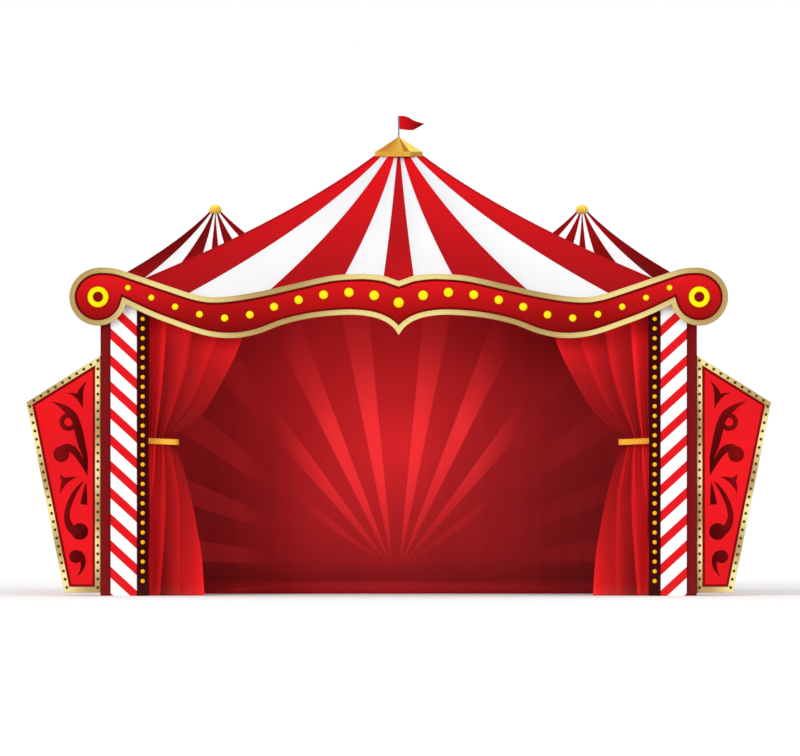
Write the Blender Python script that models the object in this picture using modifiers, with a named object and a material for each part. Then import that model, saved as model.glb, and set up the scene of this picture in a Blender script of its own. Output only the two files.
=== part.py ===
"""Circus big top tent with a fairground front.

Metres, +Z up, the front looking along -Y, the origin on the ground at the middle of the plan.
A flat stage front, two pillars and a wavy show board with a painted wing on each side, stands
before a canvas tent. Two smaller pavilions with roofs of their own stand behind the tent.
"""
import math

import bmesh
import bpy
import numpy as np
from mathutils import Matrix

OBJECT_NAME = "circus_big_top_tent"

# Gap kept between pieces that touch
GAP = 0.0003

# Widths of the front, measured from the middle of the stage
OPENING_HALF = 3.005
BULB_BOARD_WIDTH = 0.135
CANDY_BOARD_WIDTH = 0.318
PILLAR_WIDTH = 0.575

# Depths of the front's layers, from the face of the rim backwards
RIM_DEPTH = 0.035
SHOW_BOARD_DEPTH = 0.065
FACING_DEPTH = 0.030
PILLAR_DEPTH = 0.290

# The tent
CANOPY_DEPTH = 4.900
CANOPY_START = 0.120
EAVE_HALF = 3.660
EAVE_Z = 3.552
CROWN_HALF = 0.292
CROWN_Z = 5.272
CROWN_SLOPE = 1.338
CROWN_PLATE = 0.040
CROWN_HOLE = 0.010
EAVE_INSET = 0.160
CROWN_INSET = 0.050
BEAM_HEIGHT = 0.142
BEAM_WIDTH = 0.140
WALL_THICKNESS = 0.020
KING_POLE_RADIUS = 0.060

# The pavilions
TOWER_X = 2.235
TOWER_HALF = 1.150
TOWER_EAVE_HALF = 1.250
TOWER_EAVE_Z = 3.7735
TOWER_CROWN_HALF = 0.0756
TOWER_CROWN_Z = 4.588
TOWER_CROWN_SLOPE = 0.956
TOWER_EAVE_INSET = 0.120
TOWER_CROWN_INSET = 0.015
TOWER_RING_WIDTH = 0.080
TOWER_POLE_RADIUS = 0.040

# Show board: half of its outline, from the middle to the end disc
BOARD_TOP = ((0.000, 3.780), (0.080, 3.808), (0.176, 3.840), (0.340, 3.862), (0.500, 3.866),
             (0.824, 3.840), (1.256, 3.746), (1.688, 3.650), (2.120, 3.588), (2.400, 3.606),
             (2.768, 3.720), (3.110, 3.836), (3.344, 3.914), (3.460, 3.936), (3.570, 3.942))
BOARD_BOTTOM = ((0.000, 3.130), (0.068, 3.222), (0.176, 3.298), (0.340, 3.352), (0.600, 3.374),
                (1.000, 3.342), (1.364, 3.264), (1.700, 3.142), (2.000, 3.094), (2.336, 3.130),
                (2.768, 3.276), (3.020, 3.376), (3.2755, 3.497))
DISC_X = 3.608
DISC_Z = 3.589
DISC_RADIUS = 0.345
RIM_WIDTH = 0.065
MITRE_LIMIT = 2.86
KEPT_SHARE = 0.97
SCROLL_RING_OUTER = 0.126
SCROLL_RING_INNER = 0.060
SCROLL_RING_HEIGHT = 0.028
SCROLL_RING_BEVEL = 0.010
HEADER_BACK = 0.300

# Lamps: those on the show board follow a line of their own, given from its middle outwards
LAMP_LINE = ((0.000, 3.521), (0.293, 3.608), (0.597, 3.643), (0.901, 3.615), (1.203, 3.553),
             (1.497, 3.470), (1.789, 3.375), (2.092, 3.336), (2.393, 3.381), (2.686, 3.472),
             (2.972, 3.582), (3.270, 3.708))
BOARD_LAMP_SPACING = 0.306
BOARD_LAMP_COUNT = 11
BOARD_LAMP_RADIUS = 0.0670
BOARD_LAMP_SHRINK = 0.0028
LAMP_FLATNESS = 0.5
STRIP_LAMP_COUNT = 28
STRIP_LAMP_TOP = 3.326
STRIP_LAMP_SPACING = 0.1166
STRIP_LAMP_RADIUS = 0.027

# Wing: corners from the inner top round by the outside, and the same for its painted field
WING_CORNERS = ((3.580, 2.887), (4.470, 2.323), (4.014, 0.038), (3.580, 0.038))
WING_FIELD = ((3.644, 2.768), (4.400, 2.297), (3.955, 0.108), (3.647, 0.108))
WING_START = 0.170
WING_FRAME_DEPTH = 0.025
WING_BOARD_DEPTH = 0.060

# Curtain: free edge from top to bottom as height and distance from the middle
CURTAIN_EDGE = ((3.4353, 1.850), (3.094, 1.886), (2.868, 1.960), (2.606, 2.090), (2.258, 2.294),
                (2.040, 2.507), (1.925, 2.682), (1.790, 2.684), (1.603, 2.599), (1.356, 2.526),
                (1.066, 2.454), (0.716, 2.395), (0.440, 2.352), (0.001, 2.333))
CURTAIN_Y = 0.360
CURTAIN_FOLDS = 5
CURTAIN_FOLD_DEPTH = 0.028
CURTAIN_THICKNESS = 0.040
CURTAIN_SIDE_ROOM = 0.016
CURTAIN_TIE_ROOM = 0.014
CURTAIN_TIE_SPREAD = 0.300
CURTAIN_TIE_CRUSH = 0.55
TIE_Z = 1.857
TIE_HEIGHT = 0.086
TIE_INNER_EDGE = 2.640
TIE_DEPTH = 0.170
TIE_THICKNESS = 0.008
RAIL_Z = 3.460
RAIL_RADIUS = 0.025

# Stage back cloth
BACKDROP_Y = 2.270
BACKDROP_HALF = 2.750
BACKDROP_THICKNESS = 0.030
BATTEN_Z = 3.460
BATTEN_HEIGHT = 0.060
BATTEN_DEPTH = 0.070

# Hanging scalloped edge of the tent
VALANCE_DROP = 0.220
VALANCE_SCALLOP = 0.060
VALANCE_THICKNESS = 0.014
VALANCE_BAY = 0.350
VALANCE_INSET = 0.016

# Gilt cap, flagpole and pennant
CAP_HALF = 0.287
CAP_BAND = 0.062
CAP_APEX_Z = 5.500
CAP_TIP_HALF = 0.022
CAP_TURN = math.radians(19.4)
CAP_CHAMFER = math.radians(8.0)
TOWER_CAP_PROFILE = ((0.0, 0.104), (0.030, 0.098), (0.055, 0.076), (0.066, 0.052), (0.076, 0.018),
                     (0.076, 0.0), (0.0, 0.0))
FLAGPOLE_RADIUS = 0.009
FLAGPOLE_TOP = 5.759
PENNANT_THICKNESS = 0.008
PENNANT_OUTLINE = ((0.0093, 5.757), (0.064, 5.756), (0.120, 5.737), (0.180, 5.703), (0.240, 5.680),
                   (0.304, 5.662), (0.235, 5.622), (0.190, 5.600), (0.150, 5.590), (0.090, 5.594),
                   (0.0093, 5.605))

# Places worked out from the sizes above
TOWER_START = CANOPY_START + CANOPY_DEPTH + GAP
TOWER_Y = TOWER_START + TOWER_HALF
TOTAL_DEPTH = TOWER_Y + TOWER_EAVE_HALF
BOARD_BACK = RIM_DEPTH + SHOW_BOARD_DEPTH
FACING_BACK = BOARD_BACK + FACING_DEPTH
PILLAR_BACK = FACING_BACK + PILLAR_DEPTH
PILLAR_OUTER = OPENING_HALF + PILLAR_WIDTH
CANOPY_MIDDLE = CANOPY_START + CANOPY_DEPTH / 2.0
CANOPY_BACK = CANOPY_START + CANOPY_DEPTH
WALL_HALF = EAVE_HALF - EAVE_INSET
BEAM_Z = EAVE_Z - BEAM_HEIGHT

COLOURS = {
    "red": (0.72, 0.03, 0.03, 1.0),
    "deep_red": (0.30, 0.02, 0.02, 1.0),
    "white": (0.85, 0.84, 0.84, 1.0),
    "gilt": (0.80, 0.58, 0.20, 1.0),
    "pale_gilt": (0.70, 0.60, 0.33, 1.0),
    "lamp_yellow": (0.95, 0.82, 0.05, 1.0),
    "steel": (0.35, 0.36, 0.38, 1.0),
    "timber": (0.45, 0.30, 0.17, 1.0),
}


def clear_scene():
    """Removes every object that the open file holds."""
    for thing in list(bpy.data.objects):
        bpy.data.objects.remove(thing, do_unlink=True)


def make_material(name, colour, roughness=0.6, metallic=0.0):
    """A Principled material with one plain colour."""
    material = bpy.data.materials.get(name)
    if material is not None:
        return material
    material = bpy.data.materials.new(name)
    material.use_nodes = True
    shader = material.node_tree.nodes["Principled BSDF"]
    shader.inputs["Base Color"].default_value = COLOURS[colour]
    shader.inputs["Roughness"].default_value = roughness
    shader.inputs["Metallic"].default_value = metallic
    material.diffuse_color = COLOURS[colour]
    return material


def make_collection(name):
    """A collection linked to the scene."""
    collection = bpy.data.collections.new(name)
    bpy.context.scene.collection.children.link(collection)
    return collection


def place(thing, collection, material):
    """Links an object to its collection alone and gives it its material."""
    for holder in list(thing.users_collection):
        holder.objects.unlink(thing)
    collection.objects.link(thing)
    thing.data.materials.clear()
    thing.data.materials.append(material)
    return thing


def depth(distance):
    """World y of a point that lies a distance behind the front's foremost face."""
    return distance - TOTAL_DEPTH / 2.0


def box(name, collection, material, x_range, depth_range, z_range):
    """A block between two corners, with its depth measured from the front."""
    low = (x_range[0], depth(depth_range[0]), z_range[0])
    high = (x_range[1], depth(depth_range[1]), z_range[1])
    middle = [(a + b) / 2.0 for a, b in zip(low, high)]
    size = [b - a for a, b in zip(low, high)]
    bpy.ops.mesh.primitive_cube_add(size=1.0, location=middle)
    block = bpy.context.object
    block.name = name
    block.scale = size
    bpy.ops.object.transform_apply(location=False, rotation=False, scale=True)
    return place(block, collection, material)


def rod(name, collection, material, radius, start, end, sides=16):
    """A round bar between two points."""
    line = bpy.data.curves.new(name, "CURVE")
    line.dimensions = "3D"
    line.bevel_depth = radius
    line.bevel_resolution = sides // 4 - 1
    line.use_fill_caps = True
    spline = line.splines.new("POLY")
    spline.points.add(1)
    spline.points[0].co = (*start, 1.0)
    spline.points[1].co = (*end, 1.0)
    thing = bpy.data.objects.new(name, line)
    return place(thing, collection, material)


def outline_board(name, collection, material, outlines, start, thickness):
    """A flat board cut to closed outlines in the x and z plane; an outline inside another is a hole."""
    flat = bpy.data.curves.new(name, "CURVE")
    flat.dimensions = "2D"
    flat.fill_mode = "BOTH"
    flat.extrude = thickness / 2.0
    for outline in outlines:
        spline = flat.splines.new("POLY")
        spline.points.add(len(outline) - 1)
        for point, (across, up) in zip(spline.points, outline):
            point.co = (across, up, 0.0, 1.0)
        spline.use_cyclic_u = True
    board = bpy.data.objects.new(name, flat)
    board.rotation_euler = (math.radians(90.0), 0.0, 0.0)
    board.location = (0.0, depth(start + thickness / 2.0), 0.0)
    return place(board, collection, material)


def rectangle(across, up):
    """The four corners of a rectangle between two values across and two up."""
    return [(across[0], up[0]), (across[1], up[0]), (across[1], up[1]), (across[0], up[1])]


def turned(name, collection, material, profile, steps, location):
    """A profile of (radius, height) points turned about the upright axis."""
    mesh = bpy.data.meshes.new(name)
    edges = [(i, i + 1) for i in range(len(profile) - 1)]
    mesh.from_pydata([(radius, 0.0, height) for radius, height in profile], edges, [])
    thing = bpy.data.objects.new(name, mesh)
    thing.location = location
    place(thing, collection, material)
    screw = thing.modifiers.new("turn", "SCREW")
    screw.steps = steps
    screw.render_steps = steps
    screw.use_merge_vertices = True
    screw.merge_threshold = 0.0001
    return thing


def loft(name, collection, material, rings):
    """A closed solid through rings of points that all have the same count, capped at both ends."""
    form = bmesh.new()
    rows = [[form.verts.new(point) for point in ring] for ring in rings]
    count = len(rows[0])
    for lower, upper in zip(rows[:-1], rows[1:]):
        for i in range(count):
            j = (i + 1) % count
            form.faces.new((lower[i], lower[j], upper[j], upper[i]))
    form.faces.new(list(reversed(rows[0])))
    form.faces.new(rows[-1])
    if form.calc_volume(signed=True) < 0.0:
        bmesh.ops.reverse_faces(form, faces=form.faces[:])
    mesh = bpy.data.meshes.new(name)
    form.to_mesh(mesh)
    form.free()
    thing = bpy.data.objects.new(name, mesh)
    return place(thing, collection, material)


def smooth_line(points, parts=4):
    """Points along a smooth curve through the given ones (Catmull-Rom)."""
    known = np.array(points, dtype=float)
    padded = np.vstack([2.0 * known[0] - known[1], known, 2.0 * known[-1] - known[-2]])
    line = []
    for i in range(1, len(padded) - 2):
        before, start, end, after = padded[i - 1:i + 3]
        for step in np.linspace(0.0, 1.0, parts, endpoint=False):
            bend = 2.0 * before - 5.0 * start + 4.0 * end - after
            twist = 3.0 * (start - end) + after - before
            line.append(0.5 * (2.0 * start + (end - before) * step + bend * step ** 2 + twist * step ** 3))
    line.append(known[-1])
    return [tuple(point) for point in line]


def inset_outline(outline, width):
    """A clockwise outline moved inwards by a width, with mitred corners.

    A point that ends nearer to the outline than the width, as in a sharp tip, is left out.
    A corner's mitre is no longer than MITRE_LIMIT times the width.
    """
    points = np.array(outline)
    forward = np.roll(points, -1, axis=0) - points
    span = np.linalg.norm(forward, axis=1)
    forward /= span[:, None]
    normal = np.column_stack([forward[:, 1], -forward[:, 0]])
    middle = normal + np.roll(normal, 1, axis=0)
    length = np.linalg.norm(middle, axis=1)
    middle /= length[:, None]
    reach = width / np.maximum(length / 2.0, 1.0 / MITRE_LIMIT)
    moved = points + middle * reach[:, None]
    kept = []
    for point in moved:
        offset = point - points
        along = np.clip((offset * forward).sum(axis=1), 0.0, span)
        nearest = np.linalg.norm(offset - forward * along[:, None], axis=1).min()
        if nearest > KEPT_SHARE * width:
            kept.append(tuple(point))
    return kept


def board_outline():
    """Outline of the show board, clockwise from the middle of its top edge.

    From its highest point the top edge runs down as a quarter of an ellipse to the disc's side, and the
    disc's lower half is an arc that ends at the notch where the bottom edge begins.
    """
    top = smooth_line(BOARD_TOP)
    bottom = smooth_line(BOARD_BOTTOM)
    peak_x, peak_z = BOARD_TOP[-1]
    reach = DISC_X + DISC_RADIUS - peak_x
    quarter = np.linspace(0.0, math.pi / 2.0, 13)[1:]
    shoulder = [(peak_x + reach * math.sin(a), DISC_Z + (peak_z - DISC_Z) * math.cos(a)) for a in quarter]
    notch = math.atan2(bottom[-1][1] - DISC_Z, bottom[-1][0] - DISC_X)
    angles = np.linspace(0.0, notch, 20)[1:-1]
    disc = [(DISC_X + DISC_RADIUS * math.cos(a), DISC_Z + DISC_RADIUS * math.sin(a)) for a in angles]
    right = top + shoulder + disc + bottom[::-1]
    left = [(-across, up) for across, up in right[::-1]][1:-1]
    return right + left


def lamp_places():
    """Middle and radius of each lamp on the show board: evenly spaced along the lamp line."""
    line = np.array(smooth_line(LAMP_LINE))
    reach = np.concatenate([[0.0], np.cumsum(np.linalg.norm(np.diff(line, axis=0), axis=1))])
    places = [(*LAMP_LINE[0], BOARD_LAMP_RADIUS)]
    for i in range(1, BOARD_LAMP_COUNT + 1):
        across = np.interp(i * BOARD_LAMP_SPACING, reach, line[:, 0])
        up = np.interp(across, line[:, 0], line[:, 1])
        radius = BOARD_LAMP_RADIUS - BOARD_LAMP_SHRINK * i
        places.append((across, up, radius))
        places.append((-across, up, radius))
    return places


def add_lamps(board, cutters, material, places, face):
    """Joins a low round lamp to a board's front face at each place."""
    form = bmesh.new()
    for across, up, radius in places:
        where = Matrix.Translation((across, depth(face), up)) @ Matrix.Rotation(math.radians(90.0), 4, "X")
        where = where @ Matrix.Diagonal((1.0, 1.0, LAMP_FLATNESS, 1.0))
        bmesh.ops.create_uvsphere(form, u_segments=8, v_segments=6, radius=radius, matrix=where)
    mesh = bpy.data.meshes.new(board.name + "_lamps")
    form.to_mesh(mesh)
    form.free()
    lamps = bpy.data.objects.new(board.name + "_lamps", mesh)
    place(lamps, cutters, material)
    lamps.hide_render = True
    lamps.display_type = "WIRE"
    union = board.modifiers.new("lamps", "BOOLEAN")
    union.operation = "UNION"
    union.solver = "EXACT"
    union.object = lamps


def curve_to_mesh(thing, collection, material):
    """Turns a curve object into a mesh object of the same name and place, with its caps joined."""
    mesh = bpy.data.meshes.new_from_object(thing.evaluated_get(bpy.context.evaluated_depsgraph_get()))
    form = bmesh.new()
    form.from_mesh(mesh)
    bmesh.ops.remove_doubles(form, verts=form.verts[:], dist=0.00005)
    form.to_mesh(mesh)
    form.free()
    name = thing.name
    matrix = thing.matrix_world.copy()
    bpy.data.objects.remove(thing, do_unlink=True)
    solid = bpy.data.objects.new(name, mesh)
    solid.matrix_world = matrix
    return place(solid, collection, material)


def canopy_profile(half_eave, half_crown, slope, eave_z, crown_z, eave_inset, crown_inset, steps):
    """Half-width and height down the outside of a canopy and up its inside, from axis to axis.

    The half-width grows with the drop below the crown as a straight slope plus a square term, which
    gives the hollow line of stretched canvas.
    """
    drop = crown_z - eave_z
    bend = (half_eave - half_crown - slope * drop) / drop ** 2

    def half_at(fall):
        return half_crown + slope * fall + bend * fall ** 2

    profile = [(CROWN_HOLE, crown_z)]
    profile += [(half_at(drop * i / steps), crown_z - drop * i / steps) for i in range(steps + 1)]
    for i in range(steps + 1):
        part = 1.0 - i / steps
        fall = CROWN_PLATE + (drop - CROWN_PLATE) * part
        inset = crown_inset + (eave_inset - crown_inset) * part
        profile.append((half_at(fall) - inset, crown_z - fall))
    profile.append((CROWN_HOLE, crown_z - CROWN_PLATE))
    return profile


def canopy(name, collection, material, profile, middle, ratio):
    """The four faces of a canopy, each a solid between two hips that reach from the crown to a corner.

    ratio is the plan's depth over its width. The front and back faces stop short of the hips by the gap.
    """
    x, y = middle
    for word, out in (("front", -1.0), ("back", 1.0)):
        ends = [[(x + end * (half - 2.0 * GAP), y + out * half * ratio, height) for half, height in profile]
                for end in (-1.0, 1.0)]
        loft(name + "_" + word, collection, material, ends)
    for word, out in (("left", -1.0), ("right", 1.0)):
        ends = [[(x + out * half, y + end * half * ratio, height) for half, height in profile]
                for end in (-1.0, 1.0)]
        loft(name + "_" + word, collection, material, ends)


def chamfered_square(half, height):
    """Eight points of a square with narrow corners cut off, turned on its axis, at one height."""
    ring = []
    for i in range(4):
        for side in (-1.0, 1.0):
            angle = CAP_TURN - math.pi / 2.0 + i * math.pi / 2.0 + side * CAP_CHAMFER
            ring.append((half * math.cos(angle), depth(CANOPY_MIDDLE) + half * math.sin(angle), height))
    return ring


def scallop_outline(start, end, top):
    """Outline of a hanging edge whose foot is a row of half-round scallops."""
    bays = round((end - start) / VALANCE_BAY)
    bay = (end - start) / bays
    foot = top - VALANCE_DROP + VALANCE_SCALLOP
    outline = [(start, top), (end, top)]
    for i in range(bays):
        middle = end - (i + 0.5) * bay
        for angle in np.linspace(0.0, math.pi, 7)[:-1]:
            outline.append((middle + bay / 2.0 * math.cos(angle), foot - VALANCE_SCALLOP * math.sin(angle)))
    outline.append((start, foot))
    return outline


def curtain(name, collection, material, side):
    """A gathered curtain: folded across its width, drawn in at the tie and spread again below."""
    across = np.linspace(0.0, 1.0, 4 * CURTAIN_FOLDS + 1)
    form = bmesh.new()
    rows = []
    for height, free in CURTAIN_EDGE:
        nearness = math.exp(-((height - TIE_Z) / CURTAIN_TIE_SPREAD) ** 2)
        held = OPENING_HALF - CURTAIN_SIDE_ROOM - CURTAIN_TIE_ROOM * nearness
        swell = CURTAIN_FOLD_DEPTH * (1.0 - CURTAIN_TIE_CRUSH * nearness)
        wave = swell * np.cos(2.0 * math.pi * CURTAIN_FOLDS * across)
        rows.append([form.verts.new((side * (free + (held - free) * t), depth(CURTAIN_Y) - w, height))
                     for t, w in zip(across, wave)])
    for upper, lower in zip(rows[:-1], rows[1:]):
        for i in range(len(across) - 1):
            form.faces.new((upper[i], upper[i + 1], lower[i + 1], lower[i]))
    mesh = bpy.data.meshes.new(name)
    form.to_mesh(mesh)
    form.free()
    thing = bpy.data.objects.new(name, mesh)
    place(thing, collection, material)
    wall = thing.modifiers.new("wall", "SOLIDIFY")
    wall.thickness = CURTAIN_THICKNESS
    wall.offset = 0.0
    return thing


def build_front(parts, cutters):
    """The stage front: pillars with their facings, the show board, its rim and rings, and the wings."""
    red = make_material("painted_red", "red", 0.45)
    deep_red = make_material("painted_deep_red", "deep_red", 0.5)
    gilt = make_material("pale_gilt", "pale_gilt", 0.35, 0.8)
    white = make_material("painted_white", "white", 0.5)
    yellow = make_material("lamp_yellow", "lamp_yellow", 0.3)
    outline = board_outline()
    flat_board = outline_board("show_board", parts, red, [outline], RIM_DEPTH + GAP, SHOW_BOARD_DEPTH - GAP)
    board = curve_to_mesh(flat_board, parts, red)
    add_lamps(board, cutters, yellow, lamp_places(), RIM_DEPTH + GAP)
    outline_board("show_board_rim", parts, gilt, [outline, inset_outline(outline, RIM_WIDTH)], 0.0, RIM_DEPTH)
    candy_inner = OPENING_HALF + BULB_BOARD_WIDTH
    candy_outer = candy_inner + CANDY_BOARD_WIDTH
    facing = (BOARD_BACK + GAP, FACING_BACK)
    for side, word in ((-1.0, "left"), (1.0, "right")):
        box("pillar_" + word, parts, deep_red, sorted((side * OPENING_HALF, side * PILLAR_OUTER)),
            (FACING_BACK + GAP, PILLAR_BACK), (0.0, EAVE_Z - GAP))
        box("candy_board_" + word, parts, white, sorted((side * (candy_inner + GAP), side * candy_outer)),
            facing, (0.0, EAVE_Z - GAP))
        strip = box("lamp_board_" + word, parts, deep_red, sorted((side * OPENING_HALF, side * candy_inner)),
                    facing, (0.0, EAVE_Z - GAP))
        middle = side * (OPENING_HALF + BULB_BOARD_WIDTH / 2.0)
        places = [(middle, STRIP_LAMP_TOP - i * STRIP_LAMP_SPACING, STRIP_LAMP_RADIUS)
                  for i in range(STRIP_LAMP_COUNT)]
        add_lamps(strip, cutters, yellow, places, BOARD_BACK + GAP)
        shoulder = SCROLL_RING_HEIGHT - SCROLL_RING_BEVEL
        profile = [(SCROLL_RING_INNER + SCROLL_RING_BEVEL, SCROLL_RING_HEIGHT),
                   (SCROLL_RING_OUTER - SCROLL_RING_BEVEL, SCROLL_RING_HEIGHT),
                   (SCROLL_RING_OUTER, shoulder), (SCROLL_RING_OUTER, 0.0),
                   (SCROLL_RING_INNER, 0.0), (SCROLL_RING_INNER, shoulder),
                   (SCROLL_RING_INNER + SCROLL_RING_BEVEL, SCROLL_RING_HEIGHT)]
        ring = turned("scroll_ring_" + word, parts, yellow, profile, 24,
                      (side * DISC_X, depth(RIM_DEPTH), DISC_Z))
        ring.rotation_euler = (math.radians(90.0), 0.0, 0.0)
        corners = [(side * across, up) for across, up in WING_CORNERS]
        corners[0] = (side * (WING_CORNERS[0][0] + GAP), WING_CORNERS[0][1])
        corners[3] = (side * (WING_CORNERS[3][0] + GAP), WING_CORNERS[3][1])
        field = [(side * across, up) for across, up in WING_FIELD]
        outline_board("wing_frame_" + word, parts, gilt, [corners, field], WING_START, WING_FRAME_DEPTH)
        outline_board("wing_board_" + word, parts, red, [corners], WING_START + WING_FRAME_DEPTH + GAP,
                      WING_BOARD_DEPTH)
    timber = make_material("painted_timber", "timber", 0.6)
    box("header_beam", parts, timber, (-OPENING_HALF + GAP, OPENING_HALF - GAP),
        (BOARD_BACK + GAP, HEADER_BACK), (BEAM_Z, EAVE_Z - GAP))


def build_stage(parts):
    """What hangs in the opening: curtains, ties and rail, and the back cloth on its batten."""
    red = make_material("velvet_red", "red", 0.9)
    gilt = make_material("gilt", "gilt", 0.4, 0.7)
    cloth = make_material("back_cloth", "deep_red", 0.8)
    timber = make_material("painted_timber", "timber", 0.6)
    reach = OPENING_HALF - GAP
    rod("curtain_rail", parts, gilt, RAIL_RADIUS, (-reach, depth(CURTAIN_Y), RAIL_Z),
        (reach, depth(CURTAIN_Y), RAIL_Z))
    for side, word in ((-1.0, "left"), (1.0, "right")):
        curtain("curtain_" + word, parts, red, side)
        outer = rectangle((side * TIE_INNER_EDGE, side * reach), (-TIE_DEPTH / 2.0, TIE_DEPTH / 2.0))
        inside = TIE_DEPTH / 2.0 - TIE_THICKNESS
        inner = rectangle((side * (TIE_INNER_EDGE + TIE_THICKNESS), side * (reach - TIE_THICKNESS)),
                          (-inside, inside))
        tie = outline_board("tieback_" + word, parts, gilt, [outer, inner], 0.0, TIE_HEIGHT)
        tie.rotation_euler = (0.0, 0.0, 0.0)
        tie.location = (0.0, depth(CURTAIN_Y), TIE_Z)
    batten = (BACKDROP_Y - BATTEN_DEPTH / 2.0, BACKDROP_Y + BATTEN_DEPTH / 2.0)
    box("backdrop_batten", parts, timber, (-WALL_HALF + GAP, WALL_HALF - GAP), batten,
        (BATTEN_Z, BATTEN_Z + BATTEN_HEIGHT))
    box("backdrop", parts, cloth, (-BACKDROP_HALF, BACKDROP_HALF),
        (BACKDROP_Y - BACKDROP_THICKNESS / 2.0, BACKDROP_Y + BACKDROP_THICKNESS / 2.0),
        (0.0, BATTEN_Z - GAP))


def build_tent(parts):
    """The tent behind the front: canopy, pole, beams, posts, canvas walls, hanging edge, cap and flag."""
    red = make_material("canvas_red", "red", 0.8)
    white = make_material("canvas_white", "white", 0.8)
    gilt = make_material("gilt", "gilt", 0.4, 0.7)
    steel = make_material("galvanised_steel", "steel", 0.4, 0.9)
    timber = make_material("painted_timber", "timber", 0.6)
    profile = canopy_profile(EAVE_HALF, CROWN_HALF, CROWN_SLOPE, EAVE_Z, CROWN_Z, EAVE_INSET, CROWN_INSET, 10)
    middle = (0.0, depth(CANOPY_MIDDLE))
    canopy("main_canopy", parts, red, profile, middle, CANOPY_DEPTH / 2.0 / EAVE_HALF)
    rod("king_pole", parts, steel, KING_POLE_RADIUS, (0.0, depth(CANOPY_MIDDLE), 0.0),
        (0.0, depth(CANOPY_MIDDLE), CROWN_Z - CROWN_PLATE - GAP))
    beam_z = (BEAM_Z, EAVE_Z - GAP)
    back = (CANOPY_BACK - BEAM_WIDTH, CANOPY_BACK)
    beam_outer = WALL_HALF + BEAM_WIDTH
    box("back_beam", parts, timber, (-beam_outer, beam_outer), back, beam_z)
    side_depth = (PILLAR_BACK + GAP, back[0] - GAP)
    post_inner = WALL_HALF - BEAM_WIDTH / 2.0
    post_outer = post_inner + BEAM_WIDTH
    for side, word in ((-1.0, "left"), (1.0, "right")):
        box("side_beam_" + word, parts, timber, sorted((side * WALL_HALF, side * beam_outer)),
            side_depth, beam_z)
        box("back_post_" + word, parts, timber, sorted((side * post_inner, side * post_outer)), back,
            (0.0, BEAM_Z - GAP))
        wall_outer = WALL_HALF + WALL_THICKNESS
        box("side_wall_" + word, parts, white, sorted((side * WALL_HALF, side * wall_outer)),
            side_depth, (0.0, BEAM_Z - GAP))
        outline = scallop_outline(depth(PILLAR_BACK), depth(CANOPY_BACK - VALANCE_INSET), EAVE_Z - GAP)
        edge = outline_board("valance_" + word, parts, red, [outline], 0.0, VALANCE_THICKNESS)
        edge.rotation_euler = (math.radians(90.0), 0.0, math.radians(90.0))
        edge.location = (side * (beam_outer + GAP + VALANCE_THICKNESS / 2.0), 0.0, 0.0)
    wall_middle = back[0] + BEAM_WIDTH / 2.0
    wall_depth = (wall_middle - WALL_THICKNESS / 2.0, wall_middle + WALL_THICKNESS / 2.0)
    box("back_wall", parts, white, (-post_inner + GAP, post_inner - GAP), wall_depth, (0.0, BEAM_Z - GAP))
    edge_half = TOWER_X - TOWER_HALF - GAP
    outline_board("valance_back", parts, red, [scallop_outline(-edge_half, edge_half, EAVE_Z - GAP)],
                  CANOPY_BACK + GAP, VALANCE_THICKNESS)
    cap_foot = CROWN_Z + GAP
    loft("crown_cap", parts, gilt, [chamfered_square(CAP_HALF, cap_foot),
                                    chamfered_square(CAP_HALF, cap_foot + CAP_BAND),
                                    chamfered_square(CAP_TIP_HALF, CAP_APEX_Z)])
    rod("flagpole", parts, steel, FLAGPOLE_RADIUS, (0.0, depth(CANOPY_MIDDLE), CAP_APEX_Z + GAP),
        (0.0, depth(CANOPY_MIDDLE), FLAGPOLE_TOP), 12)
    outline_board("pennant", parts, red, [PENNANT_OUTLINE], CANOPY_MIDDLE - PENNANT_THICKNESS / 2.0,
                  PENNANT_THICKNESS)


def build_towers(parts):
    """The two pavilions: canvas walls, ring beam, pole, canopy and gilt cap."""
    red = make_material("canvas_dark_red", "deep_red", 0.8)
    white = make_material("canvas_white", "white", 0.8)
    gilt = make_material("gilt", "gilt", 0.4, 0.7)
    steel = make_material("galvanised_steel", "steel", 0.4, 0.9)
    timber = make_material("painted_timber", "timber", 0.6)
    profile = canopy_profile(TOWER_EAVE_HALF, TOWER_CROWN_HALF, TOWER_CROWN_SLOPE, TOWER_EAVE_Z,
                             TOWER_CROWN_Z, TOWER_EAVE_INSET, TOWER_CROWN_INSET, 8)

    def square(half, middle):
        return rectangle((middle - half, middle + half), (-half, half))

    wall_top = TOWER_EAVE_Z - BEAM_HEIGHT
    for side, word in ((-1.0, "left"), (1.0, "right")):
        x = side * TOWER_X
        y = depth(TOWER_Y)
        canopy("tower_canopy_" + word, parts, red, profile, (x, y), 1.0)
        plan = [square(TOWER_HALF, x), square(TOWER_HALF - WALL_THICKNESS, x)]
        walls = outline_board("tower_wall_" + word, parts, white, plan, 0.0, wall_top - GAP)
        walls.rotation_euler = (0.0, 0.0, 0.0)
        walls.location = (0.0, y, (wall_top - GAP) / 2.0)
        ring_height = BEAM_HEIGHT - GAP
        plan = [square(TOWER_HALF, x), square(TOWER_HALF - TOWER_RING_WIDTH, x)]
        ring = outline_board("tower_ring_beam_" + word, parts, timber, plan, 0.0, ring_height)
        ring.rotation_euler = (0.0, 0.0, 0.0)
        ring.location = (0.0, y, wall_top + ring_height / 2.0)
        rod("tower_pole_" + word, parts, steel, TOWER_POLE_RADIUS, (x, y, 0.0),
            (x, y, TOWER_CROWN_Z - CROWN_PLATE - GAP))
        turned("tower_cap_" + word, parts, gilt, TOWER_CAP_PROFILE, 16, (x, y, TOWER_CROWN_Z + GAP))


def main():
    """Builds the whole tent."""
    clear_scene()
    parts = make_collection(OBJECT_NAME)
    cutters = make_collection("cutters")
    build_front(parts, cutters)
    build_stage(parts)
    build_tent(parts)
    build_towers(parts)


main()
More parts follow.
